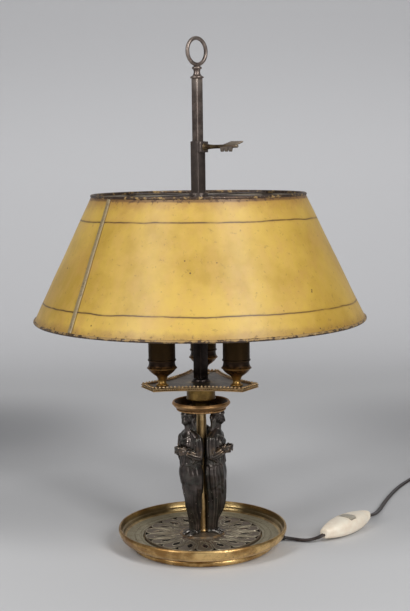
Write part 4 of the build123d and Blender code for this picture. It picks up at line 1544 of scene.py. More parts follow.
def draped_body():
    """The dress from the hem to the neck. Each row is a height, the middle's distance from the
    lamp's axis, the half depth and the half width."""
    table = [
        (16.0, 12.8, 5.4, 5.8),
        (20.0, 12.4, 5.4, 5.6),
        (31.0, 12.8, 6.0, 6.4),
        (46.0, 14.2, 7.6, 8.2),
        (58.0, 15.8, 8.8, 9.3),
        (70.0, 16.8, 9.8, 11.4),
        (88.0, 17.4, 10.4, 14.2),
        (101.0, 17.2, 10.2, 12.8),
        (110.0, 17.0, 9.2, 11.4),
        (117.0, 17.2, 9.2, 11.2),
        (124.0, 17.4, 9.6, 12.0),
        (129.0, 17.4, 9.0, 12.4),
        (133.0, 17.8, 7.2, 10.0),
        (136.5, 18.4, 5.0, 6.6),
        (140.0, 19.2, 3.8, 4.2),
    ]
    heights = np.arange(16.0, 140.01, 0.7)
    middles, depths, widths = (
        np.interp(heights, [row[0] for row in table], [row[k] for row in table]) for k in (1, 2, 3)
    )
    kernel = np.hanning(11) / np.hanning(11).sum()
    middles, depths, widths = (
        (
            np.convolve(np.pad(v, 5, mode="edge"), kernel, mode="valid")
            for v in (middles, depths, widths)
        )
    )
    rows = []
    for height, middle, depth, width in zip(heights, middles, depths, widths):
        row = []
        hip = 1.4 * ease(height, 30, 50) * ease(height, 95, 75)
        for j in range(220):
            turn = 2 * math.pi * j / 220
            turn = turn if turn <= math.pi else turn - 2 * math.pi
            out = body_folds(turn, height)
            x, y = math.cos(turn), (width + out) * math.sin(turn)
            x = (
                middle + (depth + out) * x
                if x > 0
                else middle - (depth + 1.2 + out) * abs(x) ** 0.6
            )
            row.append(Vector((max(x, math.sqrt(max(0.0, 6.0**2 - y * y))), y + hip, height)))
        rows.append(row)
    return rings(rows, closed=False, capped=True)


def arm(side):
    """A wide pleated sleeve that hangs from the elbow, and a forearm whose hand holds the bowl."""
    shoulder, elbow = (16.8, 13.4 * side, 128.8), (17.2, 14.4 * side, 109.6)
    slope = limb([(18.6, 3.2 * side, 137.2), (17.6, 8.2 * side, 133.8), shoulder], [3.4, 4.2, 4.6])
    upper = limb(
        [shoulder, (16.8, 14.2 * side, 119.5), elbow], [4.6, 5.0, 4.7], 6, 2.5, 0.03, count=56
    )
    hang = limb(
        [(16.8, 13.2 * side, 112.0), (19.4, 12.6 * side, 107.6), (22.0, 11.0 * side, 103.8)],
        [4.4, 4.6, 2.4],
        8,
        1.4,
        0.05,
        count=56,
    )
    sleeve = limb(
        [elbow, (21.5, 12.2 * side, 111.4), (26.0, 9.2 * side, 114.2)],
        [4.9, 5.1, 4.8],
        9,
        1.5,
        0.06,
        count=56,
    )
    fore = limb(
        [elbow, (22.4, 11.2 * side, 112.4), (27.4, 8.4 * side, 115.4), (29.2, 7.4 * side, 116.4)],
        [3.4, 3.2, 2.5, 2.0],
    )
    palm = ball((30.0, 6.9 * side, 116.7), (2.6, 1.7, 2.7), 20)
    fingers = [
        limb(
            [
                (30.8, 7.3 * side, 115.3 + rise),
                (34.2, 6.3 * side, 115.1 + rise),
                (36.4, 3.8 * side, 114.9 + rise),
            ],
            [0.9, 0.85, 0.65],
            count=12,
        )
        for rise in (1.6, 0.5, -0.6, -1.6)
    ]
    thumb = limb(
        [(29.4, 6.6 * side, 118.9), (30.0, 6.1 * side, 120.9), (31.2, 5.2 * side, 121.4)],
        [0.95, 0.9, 0.7],
        count=12,
    )
    return joined(slope, upper, hang, sleeve, fore, palm, thumb, *fingers)


def bowl():
    """The small footed bowl in the hands."""
    section = outline(
        (0.0, -3.6),
        (3.4, -3.5),
        (6.6, -1.4, 8.0, 2.6),
        (7.6, 3.9, 6.8, 3.3),
        (5.4, -0.2),
        (0.0, -1.8),
    )
    tilt = Matrix.Rotation(math.radians(-9), 4, "Y")
    return placed(lathe(section, 48), Matrix.Translation((30.6, 0, 116.6)) @ tilt)


def foot(side):
    """A bare foot that shows below the hem."""
    sole = limb(
        [
            (11.8, 3.2 * side, 18.6),
            (15.8, 3.6 * side, 18.6),
            (19.6, 4.3 * side, 17.9),
            (22.8, 5.0 * side, 17.3),
        ],
        [2.6, 2.6, 2.3, 1.8],
    )
    toes = []
    for k, (length, size) in enumerate(
        ((2.0, 0.95), (1.9, 0.72), (1.5, 0.68), (1.1, 0.64), (0.6, 0.6))
    ):
        across = side * (5.1 + (k - 1.7) * 1.15)
        toes.append(
            limb(
                [(22.4, across, 17.3), (23.1 + length, across + 0.1 * side, 16.9)],
                [size, size * 0.9],
                count=12,
            )
        )
    return joined(sole, *toes)


def hair():
    """Waved hair parted over the forehead, with a tress over each shoulder and more behind."""

    def waves(way):
        turn = math.atan2(way.y, way.x)
        opening = 0.30 * bell(turn, 0.0, 0.62) * ease(way.z, 0.42, 0.05)
        parting = 0.05 * bell(way.y, 0.0, 0.12) * ease(way.z, 0.1, 0.5)
        strands = (
            0.035 * (abs(math.cos(7 * turn + 5 * way.z * math.copysign(1.0, way.y))) ** 0.6 - 0.5)
        )
        return 1.0 - opening - parting + strands

    crown = ball((20.6, 0.0, 153.2), (7.5, 7.4, 7.3), 96, waves)
    tresses = [
        limb(
            [
                (18.6, 5.8 * side, 151.0),
                (16.8, 6.2 * side, 144.0),
                (15.6, 6.6 * side, 138.0),
                (15.4, 7.0 * side, 132.5),
            ],
            [2.2, 2.3, 2.3, 1.6],
            4,
            0.9,
            0.30,
        )
        for side in (-1, 1)
    ]
    back = limb(
        [(15.8, 0.0, 152.0), (16.4, 0.0, 143.5), (14.6, 0.0, 134.0)],
        [5.2, 4.4, 4.8],
        11,
        1.0,
        0.04,
        flat=1.3,
    )
    band = placed(
        lathe(
            outline((0, 156.0), (6.9, 156.0), (7.6, 157.4, 7.0, 158.7), (6.7, 160.2), (0, 160.2)),
            48,
        ),
        Matrix.Translation((20.6, 0, 0)),
    )
    return joined(crown, back, band, *tresses)


def face_relief(across, up):
    """How far the features of a calm, evenly proportioned face stand forward. The eyes are halfway
    down the head, the nose ends halfway from them to the chin, and the mouth is a third below."""
    eye, brow, nose_end, mouth, chin = 0.0, 1.25, -3.35, -4.75, -6.55
    side = abs(across)
    relief = 0.32 * bell(up, brow, 0.55) * bell(side, 2.0, 1.6)
    relief -= 0.75 * bell(up, eye + 0.15, 0.85) * bell(side, 2.05, 1.15)
    relief += 0.50 * bell(up, eye, 0.48) * bell(side, 2.05, 0.85)
    relief -= 0.16 * bell(up, eye - 0.2, 0.13) * bell(side, 2.05, 0.8)
    bridge = ease(up, nose_end - 0.35, nose_end + 0.2) * ease(up, brow + 1.0, brow - 0.8)
    relief += bridge * bell(across, 0.0, 0.62) * (0.65 + 0.95 * ease(up, brow, nose_end))
    relief += 0.35 * bell(up, nose_end + 0.2, 0.42) * bell(side, 0.85, 0.42)
    relief += 0.36 * bell(up, mouth + 0.36, 0.26) * bell(side, 0.35, 0.95)
    relief += 0.40 * bell(up, mouth - 0.42, 0.32) * bell(side, 0.0, 0.95)
    relief -= 0.28 * bell(up, mouth, 0.14) * bell(side, 0.0, 1.3)
    relief -= 0.22 * bell(up, mouth - 1.0, 0.3) * bell(side, 0.0, 1.1)
    relief += 0.50 * bell(up, chin, 0.75) * bell(side, 0.0, 1.2)
    return relief + 0.22 * bell(up, -2.4, 1.3) * bell(side, 2.6, 1.1)


def head():
    """The head and neck."""
    centre, radii, scale = Vector((22.2, 0.0, 151.0)), (5.4, 4.8, 7.3), 1.06
    turns, levels, rows = 150, 110, []
    for k in range(1, levels):
        tilt = math.pi * k / levels
        row = []
        for j in range(turns):
            t = 2 * math.pi * j / turns
            x, y, z = (
                math.sin(tilt) * math.cos(t) * radii[0],
                math.sin(tilt) * math.sin(t) * radii[1],
                math.cos(tilt) * radii[2],
            )
            jaw = 1.0 - 0.26 * ease(z, -2.0, -7.0)
            x, y = x * (1.0 - 0.10 * ease(z, -4.0, -7.2)), y * jaw
            forward = ease(x, 1.0, 3.4)
            row.append(centre + Vector((x + forward * face_relief(y, z), y, z)) * scale)
        rows.append(row)
    return rings(rows, closed=False, capped=True)


def cast(shape, grain):
    """Overlapping closed forms melted into one skin, as they are in a casting. In millimetres."""
    points, faces = shape
    mesh = bpy.data.meshes.new("casting")
    mesh.from_pydata(points, [], faces)
    work = bmesh.new()
    work.from_mesh(mesh)
    bmesh.ops.recalc_face_normals(work, faces=work.faces)
    work.to_mesh(mesh)
    work.free()
    steps = [
        ("REMESH", {"mode": "VOXEL", "voxel_size": grain, "adaptivity": 0.0}),
        ("SMOOTH", {"factor": 0.5, "iterations": 2}),
    ]
    return made("casting", mesh, steps)


def make_figures():
    """Three castings from one mould, each turned to its own direction."""
    neck = limb([(19.0, 0, 132.0), (20.2, 0, 139.5), (21.0, 0, 146.5)], [4.6, 3.6, 3.5])
    breasts = [ball((23.0, 4.8 * side, 123.4), (5.0, 4.6, 4.8)) for side in (-1, 1)]
    folds = []
    for drop in (0.0, 3.6, 7.0):
        half = [
            (18.2, 8.4 + 0.3 * drop, 136.0 - 0.4 * drop),
            (22.6, 6.4 + 0.1 * drop, 133.0 - 0.8 * drop),
            (25.4 + 0.1 * drop, 3.0, 130.4 - drop),
        ]
        middle = (26.0 + 0.1 * drop, 0.0, 129.4 - drop)
        folds.append(
            limb([*half, middle, *((x, -y, z) for x, y, z in half[::-1])], [1.1] * 7, count=14)
        )
    knee = limb(
        [
            (16.5, 4.5, 92.0),
            (18.8, 4.8, 76.0),
            (19.8, 4.4, 60.0),
            (19.0, 4.2, 48.0),
            (15.5, 4.0, 38.0),
            (13.2, 3.6, 31.0),
            (13.0, 3.6, 24.0),
        ],
        [8.0, 8.6, 7.4, 6.6, 5.2, 4.6, 4.0],
        8,
        1.3,
        0.02,
        count=60,
    )
    sides = [piece(side) for piece in (arm, foot) for side in (-1, 1)]
    soft = joined(draped_body(), knee, neck, hair(), bowl(), *folds, *breasts, *sides)
    skin = cast(soft, 0.44)
    skin_points = [v.co.copy() for v in skin.vertices]
    skin_faces = [tuple(p.vertices) for p in skin.polygons]
    points, faces = joined((skin_points, skin_faces), head())
    points = [Vector((p.x, p.y, min(max(p.z, PLINTH_TOP), CAPITAL_LOW))) for p in points]
    for name, direction in FIGURE_DIRECTIONS.items():
        spin = turn_z(direction)
        mesh = bpy.data.meshes.new("caryatid_" + name)
        mesh.from_pydata([(spin @ p) * MM for p in points], [], faces)
        mesh.materials.append(FINISHES["figure"])
        smooth(mesh, 60.0)
        show("caryatid_" + name, mesh, "lamp", "dark_bronze", "figure_" + name)


# ---- Capital, neck and plate ----


def turned_piece(name, section, radius, segments, finish, slot, *nodes):
    """A piece turned from one section, with its sharp corners eased."""
    shape = lathe(eased(section, radius), segments)
    return show(name, to_mesh(name, shape, finish), "lamp", slot, *nodes)


def make_capital():
    """The dished capital on the figures' heads."""
    section = outline(
        (COLUMN_BORE, CAPITAL_LOW),
        (27.2, CAPITAL_LOW),
        (28.6, 161.2, 27.8, 162.3),
        (27.6, 162.7),
        (30.4, 164.2, 32.5, 166.4),
        (33.4, 167.2),
        (33.5, 168.0, 33.2, 168.8),
        (32.5, 169.8),
        (31.9, 170.4, 31.0, 170.2),
        (29.8, 168.6),
        (27.6, 165.0),
        (26.8, 163.4, 25.0, CAPITAL_FLOOR),
        (COLUMN_BORE, CAPITAL_FLOOR),
    )
    turned_piece("capital", section, 0.25, 160, "capital", "gilt_brass", "capital_dish")


def make_neck():
    """The collar between the capital and the plate."""
    section = outline(
        (8.4, CAPITAL_FLOOR),
        (10.4, CAPITAL_FLOOR),
        (10.8, 163.2, 10.3, 163.8),
        (9.9, 164.1),
        (9.8, 167.4),
        (11.2, 170.9, 15.4, 172.2),
        (16.6, 172.5),
        (16.8, 173.7),
        (16.4, 174.1),
        (16.4, 188.0),
        (16.8, 188.4),
        (16.8, PLATE_LOW),
        (14.5, PLATE_LOW),
        (14.5, 175.6),
        (9.4, 173.0, 8.4, 168.0),
    )
    turned_piece("neck", section, 0.25, 128, "neck", "gilt_brass", "neck_collar")


def plate_loop(inset, height):
    """The plate's outline with its hollow sides and cut corners, inset all round."""
    reach, half = PLATE_REACH - inset, PLATE_CORNER - 0.9 * inset
    corners = []
    for turn in CUP_DIRECTIONS.values():
        spin = Matrix.Rotation(math.radians(turn), 2)
        corners.append((spin @ Vector((reach, -half)), spin @ Vector((reach, half))))
    loop = []
    for k, (first, last) in enumerate(corners):
        nearest = corners[(k + 1) % 3][0]
        middle = (last + nearest) / 2
        hollow = middle - middle.normalized() * PLATE_HOLLOW_SIDE
        loop += [first.lerp(last, j / 14) for j in range(14)]
        loop += [last] + arc(last, hollow, nearest, 56)[:-1]
    return [Vector((p.x, p.y, height)) for p in eased(loop, 0.7)]


def make_plate():
    """The three-sided plate with its border of beads and a row of buds below."""
    side = [
        (0.5, PLATE_LOW),
        (0.0, 189.6),
        (0.0, 190.1),
        (0.5, 190.4),
        (1.1, 190.5),
        (1.1, 191.6),
        (0.5, 191.7),
        (0.0, 192.0),
        (0.0, 192.5),
        (0.4, 192.8),
        (0.7, 193.3),
        (1.0, PLATE_TOP),
        (4.0, PLATE_TOP),
        (4.4, 193.3),
        (4.8, 193.3),
        (5.1, 192.8),
        (5.6, PLATE_WEB),
    ]
    rows = [plate_loop(inset, height) for inset, height in side]
    edge = rows[-1]
    for share in (0.25, 0.5, 0.75):
        rows.append(
            [p.lerp(Vector((*p.xy.normalized() * PLATE_HOLE, PLATE_WEB)), share) for p in edge]
        )
    for height in (PLATE_WEB, 191.4):
        rows.append([Vector((*p.xy.normalized() * PLATE_HOLE, height)) for p in edge])
    rows += [plate_loop(3.0, 191.4), plate_loop(3.0, PLATE_LOW)]
    show("plate", to_mesh("plate", rings(rows), "plate"), "lamp", "plate_bronze", "triform_plate")
    beads = beads_along("plate_beads", plate_loop(1.9, 193.7), 4.2, 1.45, "bead", 1.0)
    show("plate_beads", beads, "lamp", "plate_bronze")
    buds = beads_along("plate_buds", plate_loop(1.1, 191.05), 2.3, 0.75, "plate", 0.75)
    show("plate_buds", buds, "lamp", "plate_bronze")


# ---- Cups and candles ----


def at_cup(shape, turn):
    """A shape made on the lamp's axis, moved to a cup's place."""
    return placed(shape, turn_z(turn) @ Matrix.Translation((CUP_REACH, 0, 0)))


def cup_section():
    """The section of a baluster cup, with a fine thread round its barrel."""
    points = outline(
        (CUP_BORE, PLATE_WEB),
        (6.6, PLATE_WEB),
        (7.1, 193.2, 6.6, 193.9),
        (5.5, 194.3),
        (4.2, 197.0, 5.2, 200.6),
        (6.4, 203.2),
        (10.4, 206.0),
        (13.6, 208.8),
        (15.9, 211.8),
        (17.0, 212.5),
        (17.1, 213.0),
        (15.9, 214.2),
        (14.8, 217.4, 14.8, 220.6),
        (15.5, 220.9),
        (16.0, 221.8, 15.6, 222.7),
        (14.9, 223.0),
    )
    for k in range(24):
        low = 223.4 + 0.96 * k
        points += [Vector((14.8, low)), Vector((15.15, low + 0.3)), Vector((15.15, low + 0.66))]
    return points + outline(
        (14.9, 246.6),
        (15.7, 247.0),
        (16.1, 247.7, 15.7, CUP_TOP),
        (14.1, CUP_TOP),
        (13.8, 248.0),
        (13.8, 216.0),
        (CUP_BORE, 216.0),
    )


def glass_section():
    """The two walls of a candle bulb's glass."""
    outside = [
        (6.3, 291.0),
        (6.6, 294.0),
        (13.6, 303.0),
        (17.4, 319.0),
        (13.4, 345.0),
        (5.6, 364.0),
        (2.2, 370.0),
        (0.0, 371.2),
    ]
    inside = [
        (0.0, 370.4),
        (1.7, 369.4),
        (4.8, 363.6),
        (12.6, 344.8),
        (16.6, 319.0),
        (13.0, 303.6),
        (5.8, 294.2),
        (5.5, 291.0),
    ]
    return [
        p.xy
        for wall in (outside, inside)
        for p in smooth_line([Vector((r, z, 0)) for r, z in wall], [0.0] * 8)[0]
    ]


def cap_section():
    """The screw cap of a bulb."""
    points = outline((0, 263.0), (2.4, 263.0), (4.0, 265.0), (6.5, 266.4))
    for k in range(8):
        low = 267.2 + 2.4 * k
        points += [Vector((6.9, low)), Vector((6.5, low + 1.2))]
    return points + outline((6.7, 288.0), (6.7, 290.4), (6.2, 291.0), (0, 291.0))


def make_cups():
    """The three cups, each with its lampholder, candle sleeve and bulb."""
    holder = outline(
        (CUP_BORE, 216.2),
        (6.0, 216.2),
        (6.0, 252.0),
        (10.6, 256.0),
        (10.6, 288.0),
        (7.4, 288.0),
        (7.4, 262.0),
        (CUP_BORE, 262.0),
    )
    card = outline((11.2, 216.2), (12.2, 216.2), (12.2, 288.8), (11.7, 290.4, 11.2, 288.8))
    parts = (
        ("candle_cup", lathe(cup_section(), 96), "cup", "cup_bronze"),
        ("lampholder", lathe(eased(holder, 0.5), 48), "holder", "holder_plastic"),
        ("candle_sleeve", lathe(card, 64), "candle", "candle_ivory"),
        ("bulb_cap", lathe(cap_section(), 48), "brass", "bulb_brass"),
        ("bulb_glass", lathe(glass_section(), 64), "glass", "bulb_glass"),
    )
    for name, turn in CUP_DIRECTIONS.items():
        for part, shape, finish, slot in parts:
            node = part + "_" + name
            show(node + "_piece", to_mesh(node, at_cup(shape, turn), finish), "lamp", slot, node)


# ---- Rod and finial ----


def square_loop(half, corner, height):
    """A square with rounded corners."""
    loop = []
    for k in range(4):
        for j in range(5):
            t = math.radians(90 * k + 90 * j / 4)
            u = (half - corner) * (1 if k in (0, 3) else -1) + corner * math.cos(t)
            v = (half - corner) * (1 if k in (0, 1) else -1) + corner * math.sin(t)
            loop.append(Vector((u, v, height)))
    return loop


def make_stem_foot():
    """The foot that joins the rod to the column."""
    section = outline(
        (5.65, 186.0),
        (6.6, 186.0),
        (6.6, PLATE_WEB),
        (10.2, PLATE_WEB),
        (10.7, 193.0, 10.4, 193.5),
        (9.4, 194.0),
        (9.1, ROD_LOW),
        (3.5, ROD_LOW),
        (3.5, 190.7),
        (5.65, 190.7),
    )
    turned_piece("stem_foot_piece", section, 0.15, 64, "iron", "dull_brass", "stem_foot")


def make_rod():
    """The square rod, set cornerwise."""
    straight = [196.2, *range(220, 521, 20), 533.2]
    levels = [(4.1, ROD_LOW), *((ROD_HALF, z) for z in straight), (4.1, ROD_TOP)]
    rows = [[turn_z(ROD_TURN) @ p for p in square_loop(half, 0.55, z)] for half, z in levels]
    show(
        "rod",
        to_mesh("rod", rings(rows, closed=False, capped=True), "steel"),
        "lamp",
        "steel_bronzed",
        "stem_rod",
    )


def make_finial():
    """The turned neck and the lifting ring on the rod."""
    section = outline(
        (0, 526.4),
        (2.95, 526.4),
        (2.95, ROD_TOP),
        (6.4, ROD_TOP),
        (7.6, 534.9, 6.9, 536.0),
        (6.2, 536.3),
        (4.7, 537.5),
        (3.6, 541.0, 4.2, 543.8),
        (4.9, 544.0),
        (5.6, 545.2, 4.8, 546.6),
        (4.2, 546.9),
        (3.2, 547.7),
        (2.6, 548.4),
        (0, 548.4),
    )
    neck = lathe(eased(section, 0.15), 64)
    middle, reach = LAMP_TOP - RING_R, RING_R - RING_WIRE_R
    spin = turn_z(KEY_TURN)
    path = [
        spin @ Vector((0, reach * math.cos(t), middle + reach * math.sin(t)))
        for t in (2 * math.pi * k / 96 for k in range(96))
    ]
    ring = sweep(path, circle(RING_WIRE_R, 20), closed=True, up=spin @ Vector((1, 0, 0)))
    show(
        "finial",
        to_mesh("finial", joined(neck, ring), "steel"),
        "lamp",
        "steel_bronzed",
        "ring_finial",
    )


# ---- Sleeve and key ----


def key_matrix(distance=0.0):
    """The place on the key's axis at a distance from the rod's, with +X along it."""
    return (
        Matrix.Translation((0, 0, KEY_HEIGHT))
        @ turn_z(KEY_TURN)
        @ Matrix.Translation((distance, 0, 0))
    )


LAY_ALONG_X = Matrix.Rotation(math.radians(90), 4, "Y")


def cut(mesh, shape):
    """The mesh with a closed shape cut out of it."""
    tool = bpy.data.objects.new("tool", to_mesh("tool", shape, "iron"))
    bpy.context.scene.collection.objects.link(tool)
    result = made(
        mesh.name,
        mesh,
        [("BOOLEAN", {"operation": "DIFFERENCE", "object": tool, "solver": "EXACT"})],
    )
    bpy.data.objects.remove(tool)
    while len(result.materials) > 1:
        result.materials.pop()
    smooth(result)
    return result


def make_sleeve():
    """The square sleeve that slides on the rod, and the block that its key goes through."""
    straight = [196.4, *range(220, 461, 20), 464.4]
    levels = [
        (5.75, SLEEVE_LOW),
        *((SLEEVE_HALF, z) for z in straight),
        (5.75, SLEEVE_TOP),
        (4.65, SLEEVE_TOP),
        (4.65, SLEEVE_LOW),
    ]
    rows = [
        [turn_z(ROD_TURN) @ p for p in square_loop(half, 0.7 if half > 5 else 0.3, z)]
        for half, z in levels
    ]
    hole = placed(
        lathe(outline((0, 4.0), (2.06, 4.0), (2.06, 12.0), (0, 12.0)), 32),
        key_matrix() @ LAY_ALONG_X,
    )
    sleeve = cut(to_mesh("sleeve", rings(rows), "iron"), hole)
    show("sleeve", sleeve, "shade", "dark_iron", "slide_sleeve")
    levels = [(0.5, 6.0), (0.0, 6.3), (0.0, 9.9), (0.2, 10.3), (0.7, 10.5)]
    rows = []
    for inset, x in levels:
        loop = square_loop(6.1 - inset, 0.8, 0.0)
        rows.append([key_matrix() @ Vector((x, p.x, p.y)) for p in loop])
    block = cut(to_mesh("clamp_block", rings(rows, closed=False, capped=True), "iron"), hole)
    show("clamp_block", block, "shade", "dark_iron", "key_boss")


def make_key():
    """The arrow-shaped key: a tapered shaft and three pairs of barbs."""
    section = outline(
        (0, 4.6),
        (1.5, 4.6),
        (2.0, 5.1),
        (2.0, 10.8),
        (3.9, 10.8),
        (4.5, 11.2, 4.0, 11.8),
        (3.4, 13.0),
        (2.45, 21.0, 2.2, 36.0),
        (1.7, 60.0),
        (1.2, 61.2),
        (0, 61.5),
    )
    shaft = placed(lathe(section, 40), key_matrix() @ LAY_ALONG_X)
    show("key_shaft", to_mesh("key_shaft", shaft, "key_steel"), "key", "steel_bronzed", "key_screw")
    flat = [Vector(p) for p in ((35.3, 1.2), (43.8, 10.4), (48.7, 10.4), (42.4, 1.2))]
    middle = sum(flat, Vector((0, 0))) / 4
    rows = []
    for inset, rise in ((0.10, -0.9), (0.0, -0.5), (0.0, 0.5), (0.10, 0.9)):
        loop = eased([p.lerp(middle, inset) for p in flat], 0.5)
        rows.append([Vector((p.x, p.y, rise)) for p in loop])
    barb = rings(rows, closed=False, capped=True)
    pair = joined(barb, placed(barb, Matrix.Rotation(math.pi, 4, "X")))
    vanes = in_a_row("key_vanes", to_mesh("barbs", pair, "key_steel"), 3, 6.2, "key_steel")
    vanes.transform(
        Matrix.Scale(MM, 4)
        @ key_matrix()
        @ Matrix.Rotation(math.radians(VANE_TILT), 4, "X")
        @ Matrix.Scale(1 / MM, 4)
    )
    show("key_vanes", vanes, "key", "steel_bronzed", "key_fletching")


# ---- Shade ----


def shade_frame():
    """The unit vectors of the shade's section: down the sheet, and outwards from it."""
    down = (Vector(SHADE_LOW) - Vector(SHADE_HIGH)).normalized()
    return down, Vector((-down.y, down.x))


def shade_point(distance, out):
    """A point of the shade's section: down the sheet from its top, and outwards."""
    down, square = shade_frame()
    return Vector(SHADE_HIGH) + down * distance + square * out


def shade_dent(radius, height, angle):
    """The sheet's slight unevenness, the same for every piece of the shade."""
    around = Vector((math.cos(angle), math.sin(angle), height / 90))
    return 0.55 * noise.noise(around * 2.3) + 0.16 * noise.noise(around * 7.0)


def sheet(name, near, far, finish):
    """One skin of the shade's sheet, from one distance out to another."""
    length = (Vector(SHADE_LOW) - Vector(SHADE_HIGH)).length
    stations = np.linspace(0.4, length - 0.4, 46)
    section = (
        [shade_point(s, near) for s in stations] + [shade_point(s, far) for s in stations[::-1]]
    )
    return to_mesh(name, lathe(section, SHADE_SEGMENTS, wobble=shade_dent), finish)


def make_shade():
    """The shade: painted sheet, lining, rolled rims and the lapped seam."""
    show(
        "shade_wall", sheet("shade_wall", 0.35, -0.05, "tole"), "shade", "yellow_tole", "shade_cone"
    )
    show("shade_lining", sheet("shade_lining", -0.05, -0.35, "white"), "shade", "yellow_tole")
    for name, (radius, height) in (("top", SHADE_HIGH), ("bottom", SHADE_LOW)):
        section = [Vector((radius + u, height + v)) for u, v in circle(1.75, 16)]
        rim = to_mesh(
            "rolled_rim_" + name, lathe(section, SHADE_SEGMENTS, wobble=shade_dent), "rim"
        )
        show("rolled_rim_" + name, rim, "shade", "yellow_tole")
    length = (Vector(SHADE_LOW) - Vector(SHADE_HIGH)).length
    rows = []
    slant = math.radians(SEAM_SLANT)
    for s in np.linspace(2.0, length - 2.0, 90):
        row = []
        aside = (s - length / 2) * math.sin(slant)
        for across, out in (
            (-2.6, 0.1), (-2.6, 0.85), (-2.2, 1.15), (0.0, 1.25), (2.0, 1.1), (2.5, 0.8), (2.6, 0.1)
        ):
            waver = 0.22 * noise.noise(Vector((s / 9, across, 0)))
            place = shade_point(s, out)
            angle = math.radians(SEAM_TURN) + math.atan2(aside, place.x)
            reach = place.x + shade_dent(place.x, place.y, angle)
            row.append(Matrix.Rotation(angle, 4, "Z") @ Vector((reach, across + waver, place.y)))
        rows.append(row)
    show(
        "shade_seam",
        to_mesh("shade_seam", rings(rows, closed=False, capped=True), "seam"),
        "shade",
        "yellow_tole",
    )


# ---- Switch, bushing and plug ----


def switch_matrix():
    """The place of the switch on the table."""
    return Matrix.Translation(SWITCH_PLACE) @ turn_z(SWITCH_TURN)


def switch_size(share):
    """The width and height of the casing at a share of the way from its middle to its end."""
    shares, widths, heights = (
        (0.0, 0.36, 0.7, 1.0), (30.0, 27.6, 20.4, 11.2), (20.6, 19.4, 16.0, 11.2)
    )
    line, _ = smooth_line([Vector(p) for p in zip(shares, widths, heights)], [0.0] * 4, 12)
    places = [p.x for p in line]
    return (
        float(np.interp(share, places, [p.y for p in line])),
        float(np.interp(share, places, [p.z for p in line])),
    )


def switch_row(x, inset):
    """A rounded cross-section of the casing, with a groove along the seam."""
    share = min(1.0, abs(x) / SWITCH_HALF)
    width, height = (size - 2 * inset for size in switch_size(share))
    row = []
    for k in range(72):
        t = 2 * math.pi * k / 72
        c, s = math.cos(t), math.sin(t)
        y = width / 2 * math.copysign(abs(c) ** 0.72, c)
        z = height / 2 * math.copysign(abs(s) ** 0.72, s) + SWITCH_MIDDLE
        groove = 0.35 * bell(z, SWITCH_SPLIT, 0.45)
        row.append(Vector((x, y - math.copysign(groove, y), z)))
    return row


def make_switch():
    """The in-line switch and its rocker."""
    stations = [(-46.5, 1.2), (-46.3, 0.5), (-45.8, 0.1)]
    x = -45.4
    while x < 0:
        ribbed = ease(-x, 31.0, 33.0)
        stations.append((x, ribbed * 0.28 * (0.5 - 0.5 * math.cos(2 * math.pi * x / 1.9))))
        x += 0.32 if x < -31 else 1.4
    stations += [(-x, inset) for x, inset in stations[::-1]]
    rows = [[switch_matrix() @ p for p in switch_row(x, inset)] for x, inset in stations]
    body = to_mesh("switch_case", rings(rows, closed=False, capped=True), "ivory")
    window = placed(block(12.2, 22.8, 16.0, (0, 0, 20.4)), switch_matrix())
    body = cut(body, window)
    body.name = "switch_case"
    case = show("switch_case", body, "lamp", "switch_ivory", "switch_lower", "switch_upper")
    flat = [
        (-10.6, 0.4),
        (-10.8, 4.6),
        (-6.0, 5.7),
        (0.0, 6.1),
        (6.0, 5.7),
        (10.8, 4.6),
        (10.6, 0.4),
        (3.0, -2.6),
        (-3.0, -2.6),
    ]
    rows = []
    place = (
        switch_matrix()
        @ Matrix.Translation((0, 0, ROCKER_HEIGHT))
        @ Matrix.Rotation(math.radians(-ROCKER_TILT), 4, "X")
    )
    for x, shrink in (
        (-5.6, 0.05), (-5.35, 0.015), (-5.0, 0.0), (5.0, 0.0), (5.35, 0.015), (5.6, 0.05)
    ):
        loop = eased([Vector(p) * (1 - shrink) for p in flat], 0.6)
        rows.append([place @ Vector((x, p.x, p.y)) for p in loop])
    rocker = to_mesh("rocker", rings(rows, closed=False, capped=True), "rocker")
    return [case, show("rocker", rocker, "rocker", "rocker_grey", "switch_rocker")]


def make_bushing():
    """The ribbed sleeve where the cord leaves the foot."""
    section = outline((0, 73.2), (3.4, 73.2), (3.6, 74.0), (3.6, 83.4), (3.9, 83.5), (3.9, 85.0))
    for k in range(5):
        low, reach = 85.6 + 2.0 * k, 3.7 - 0.13 * k
        section += [
            Vector((reach - 0.35, low)),
            Vector((reach, low + 0.3)),
            Vector((reach, low + 1.4)),
            Vector((reach - 0.35, low + 1.7)),
        ]
    section += outline((2.9, 95.8), (0, 96.0))
    matrix = turn_z(3.6) @ Matrix.Translation((0, 0, 4.4)) @ LAY_ALONG_X
    shape = placed(lathe(section, 40), matrix)
    return show(
        "bushing", to_mesh("bushing", shape, "rubber"), "lamp", "bushing_rubber", "cord_bushing"
    )


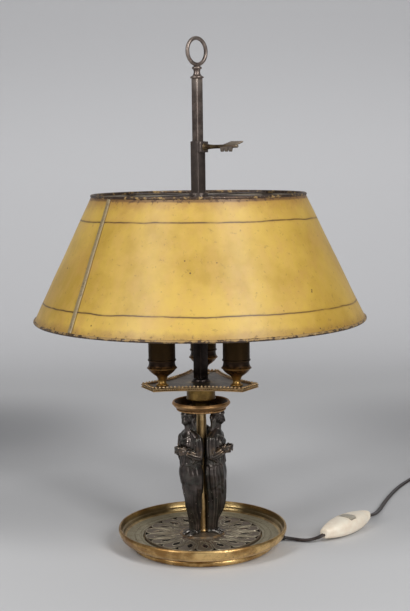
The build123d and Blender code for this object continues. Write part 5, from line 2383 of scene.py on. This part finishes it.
def make_plug():
    """The two-pin plug's body, with a ribbed strain relief."""
    flat = eased(
        [Vector(p) for p in ((18, -7), (28, -13), (57, -13), (57, 13), (28, 13), (18, 7))], 2.4
    )
    middle = Vector((39, 0))
    rows = []
    for z, shrink in (
        (-6.4, 0.05),
        (-6.0, 0.015),
        (-5.2, 0.0),
        (-0.25, 0.0),
        (0.0, 0.012),
        (0.25, 0.0),
        (5.2, 0.0),
        (6.0, 0.015),
        (6.4, 0.05),
    ):
        rows.append([Vector((*p.lerp(middle, shrink), z)) for p in flat])
    section = outline((0, 0), (3.2, 0), (3.6, 0.4))
    for k in range(7):
        low, reach = 1.6 + 2.5 * k, 3.8 + 0.24 * k
        section += [
            Vector((reach - 0.7, low)),
            Vector((reach, low + 0.4)),
            Vector((reach + 0.1, low + 1.5)),
            Vector((reach - 0.6, low + 1.9)),
        ]
    section += outline((5.6, 19.6), (5.6, 20.4), (0, 20.4))
    relief = placed(lathe(section, 36), LAY_ALONG_X)
    place = Matrix.Translation(PLUG_PLACE) @ turn_z(PLUG_TURN)
    shape = placed(joined(rings(rows, closed=False, capped=True), relief), place)
    return show("plug", to_mesh("plug", shape, "plug"), "lamp", "plug_brown", "plug_body")


# ---- The CAD nodes that are shown as they are ----


def dress_nodes():
    """Finishes for the pieces that are shown as they come."""
    finishes = {
        "base_nut": "brass",
        "figure_nuts": "zinc",
        "plate_cover": "plate",
        "cup_nipples": "brass",
        "inner_lead": "flex",
        "branch_leads": "flex",
        "shade_top_wire": "zinc",
        "shade_bottom_wire": "zinc",
        "spider_collar": "iron",
        "spider_arm_1": "iron",
        "spider_arm_2": "iron",
        "spider_arm_3": "iron",
        "spider_arm_4": "iron",
        "spider_rivets": "tole",
        "switch_screws": "zinc",
        "switch_contacts": "brass",
        "rocker_pin": "zinc",
        "plug_pins": "brass",
    }
    for node, finish in finishes.items():
        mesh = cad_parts[node].data
        mesh.materials.clear()
        mesh.materials.append(FINISHES[finish])


set_camera()
set_stage()
cord, cord_path = make_cord()
tie = make_tie()
make_tray()
make_rosette()
make_plinth()
make_column()
make_figures()
make_capital()
make_neck()
make_plate()
make_cups()
make_stem_foot()
make_rod()
make_finial()
make_sleeve()
make_key()
make_shade()
switch = make_switch()
bushing = make_bushing()
plug = make_plug()
dress_nodes()
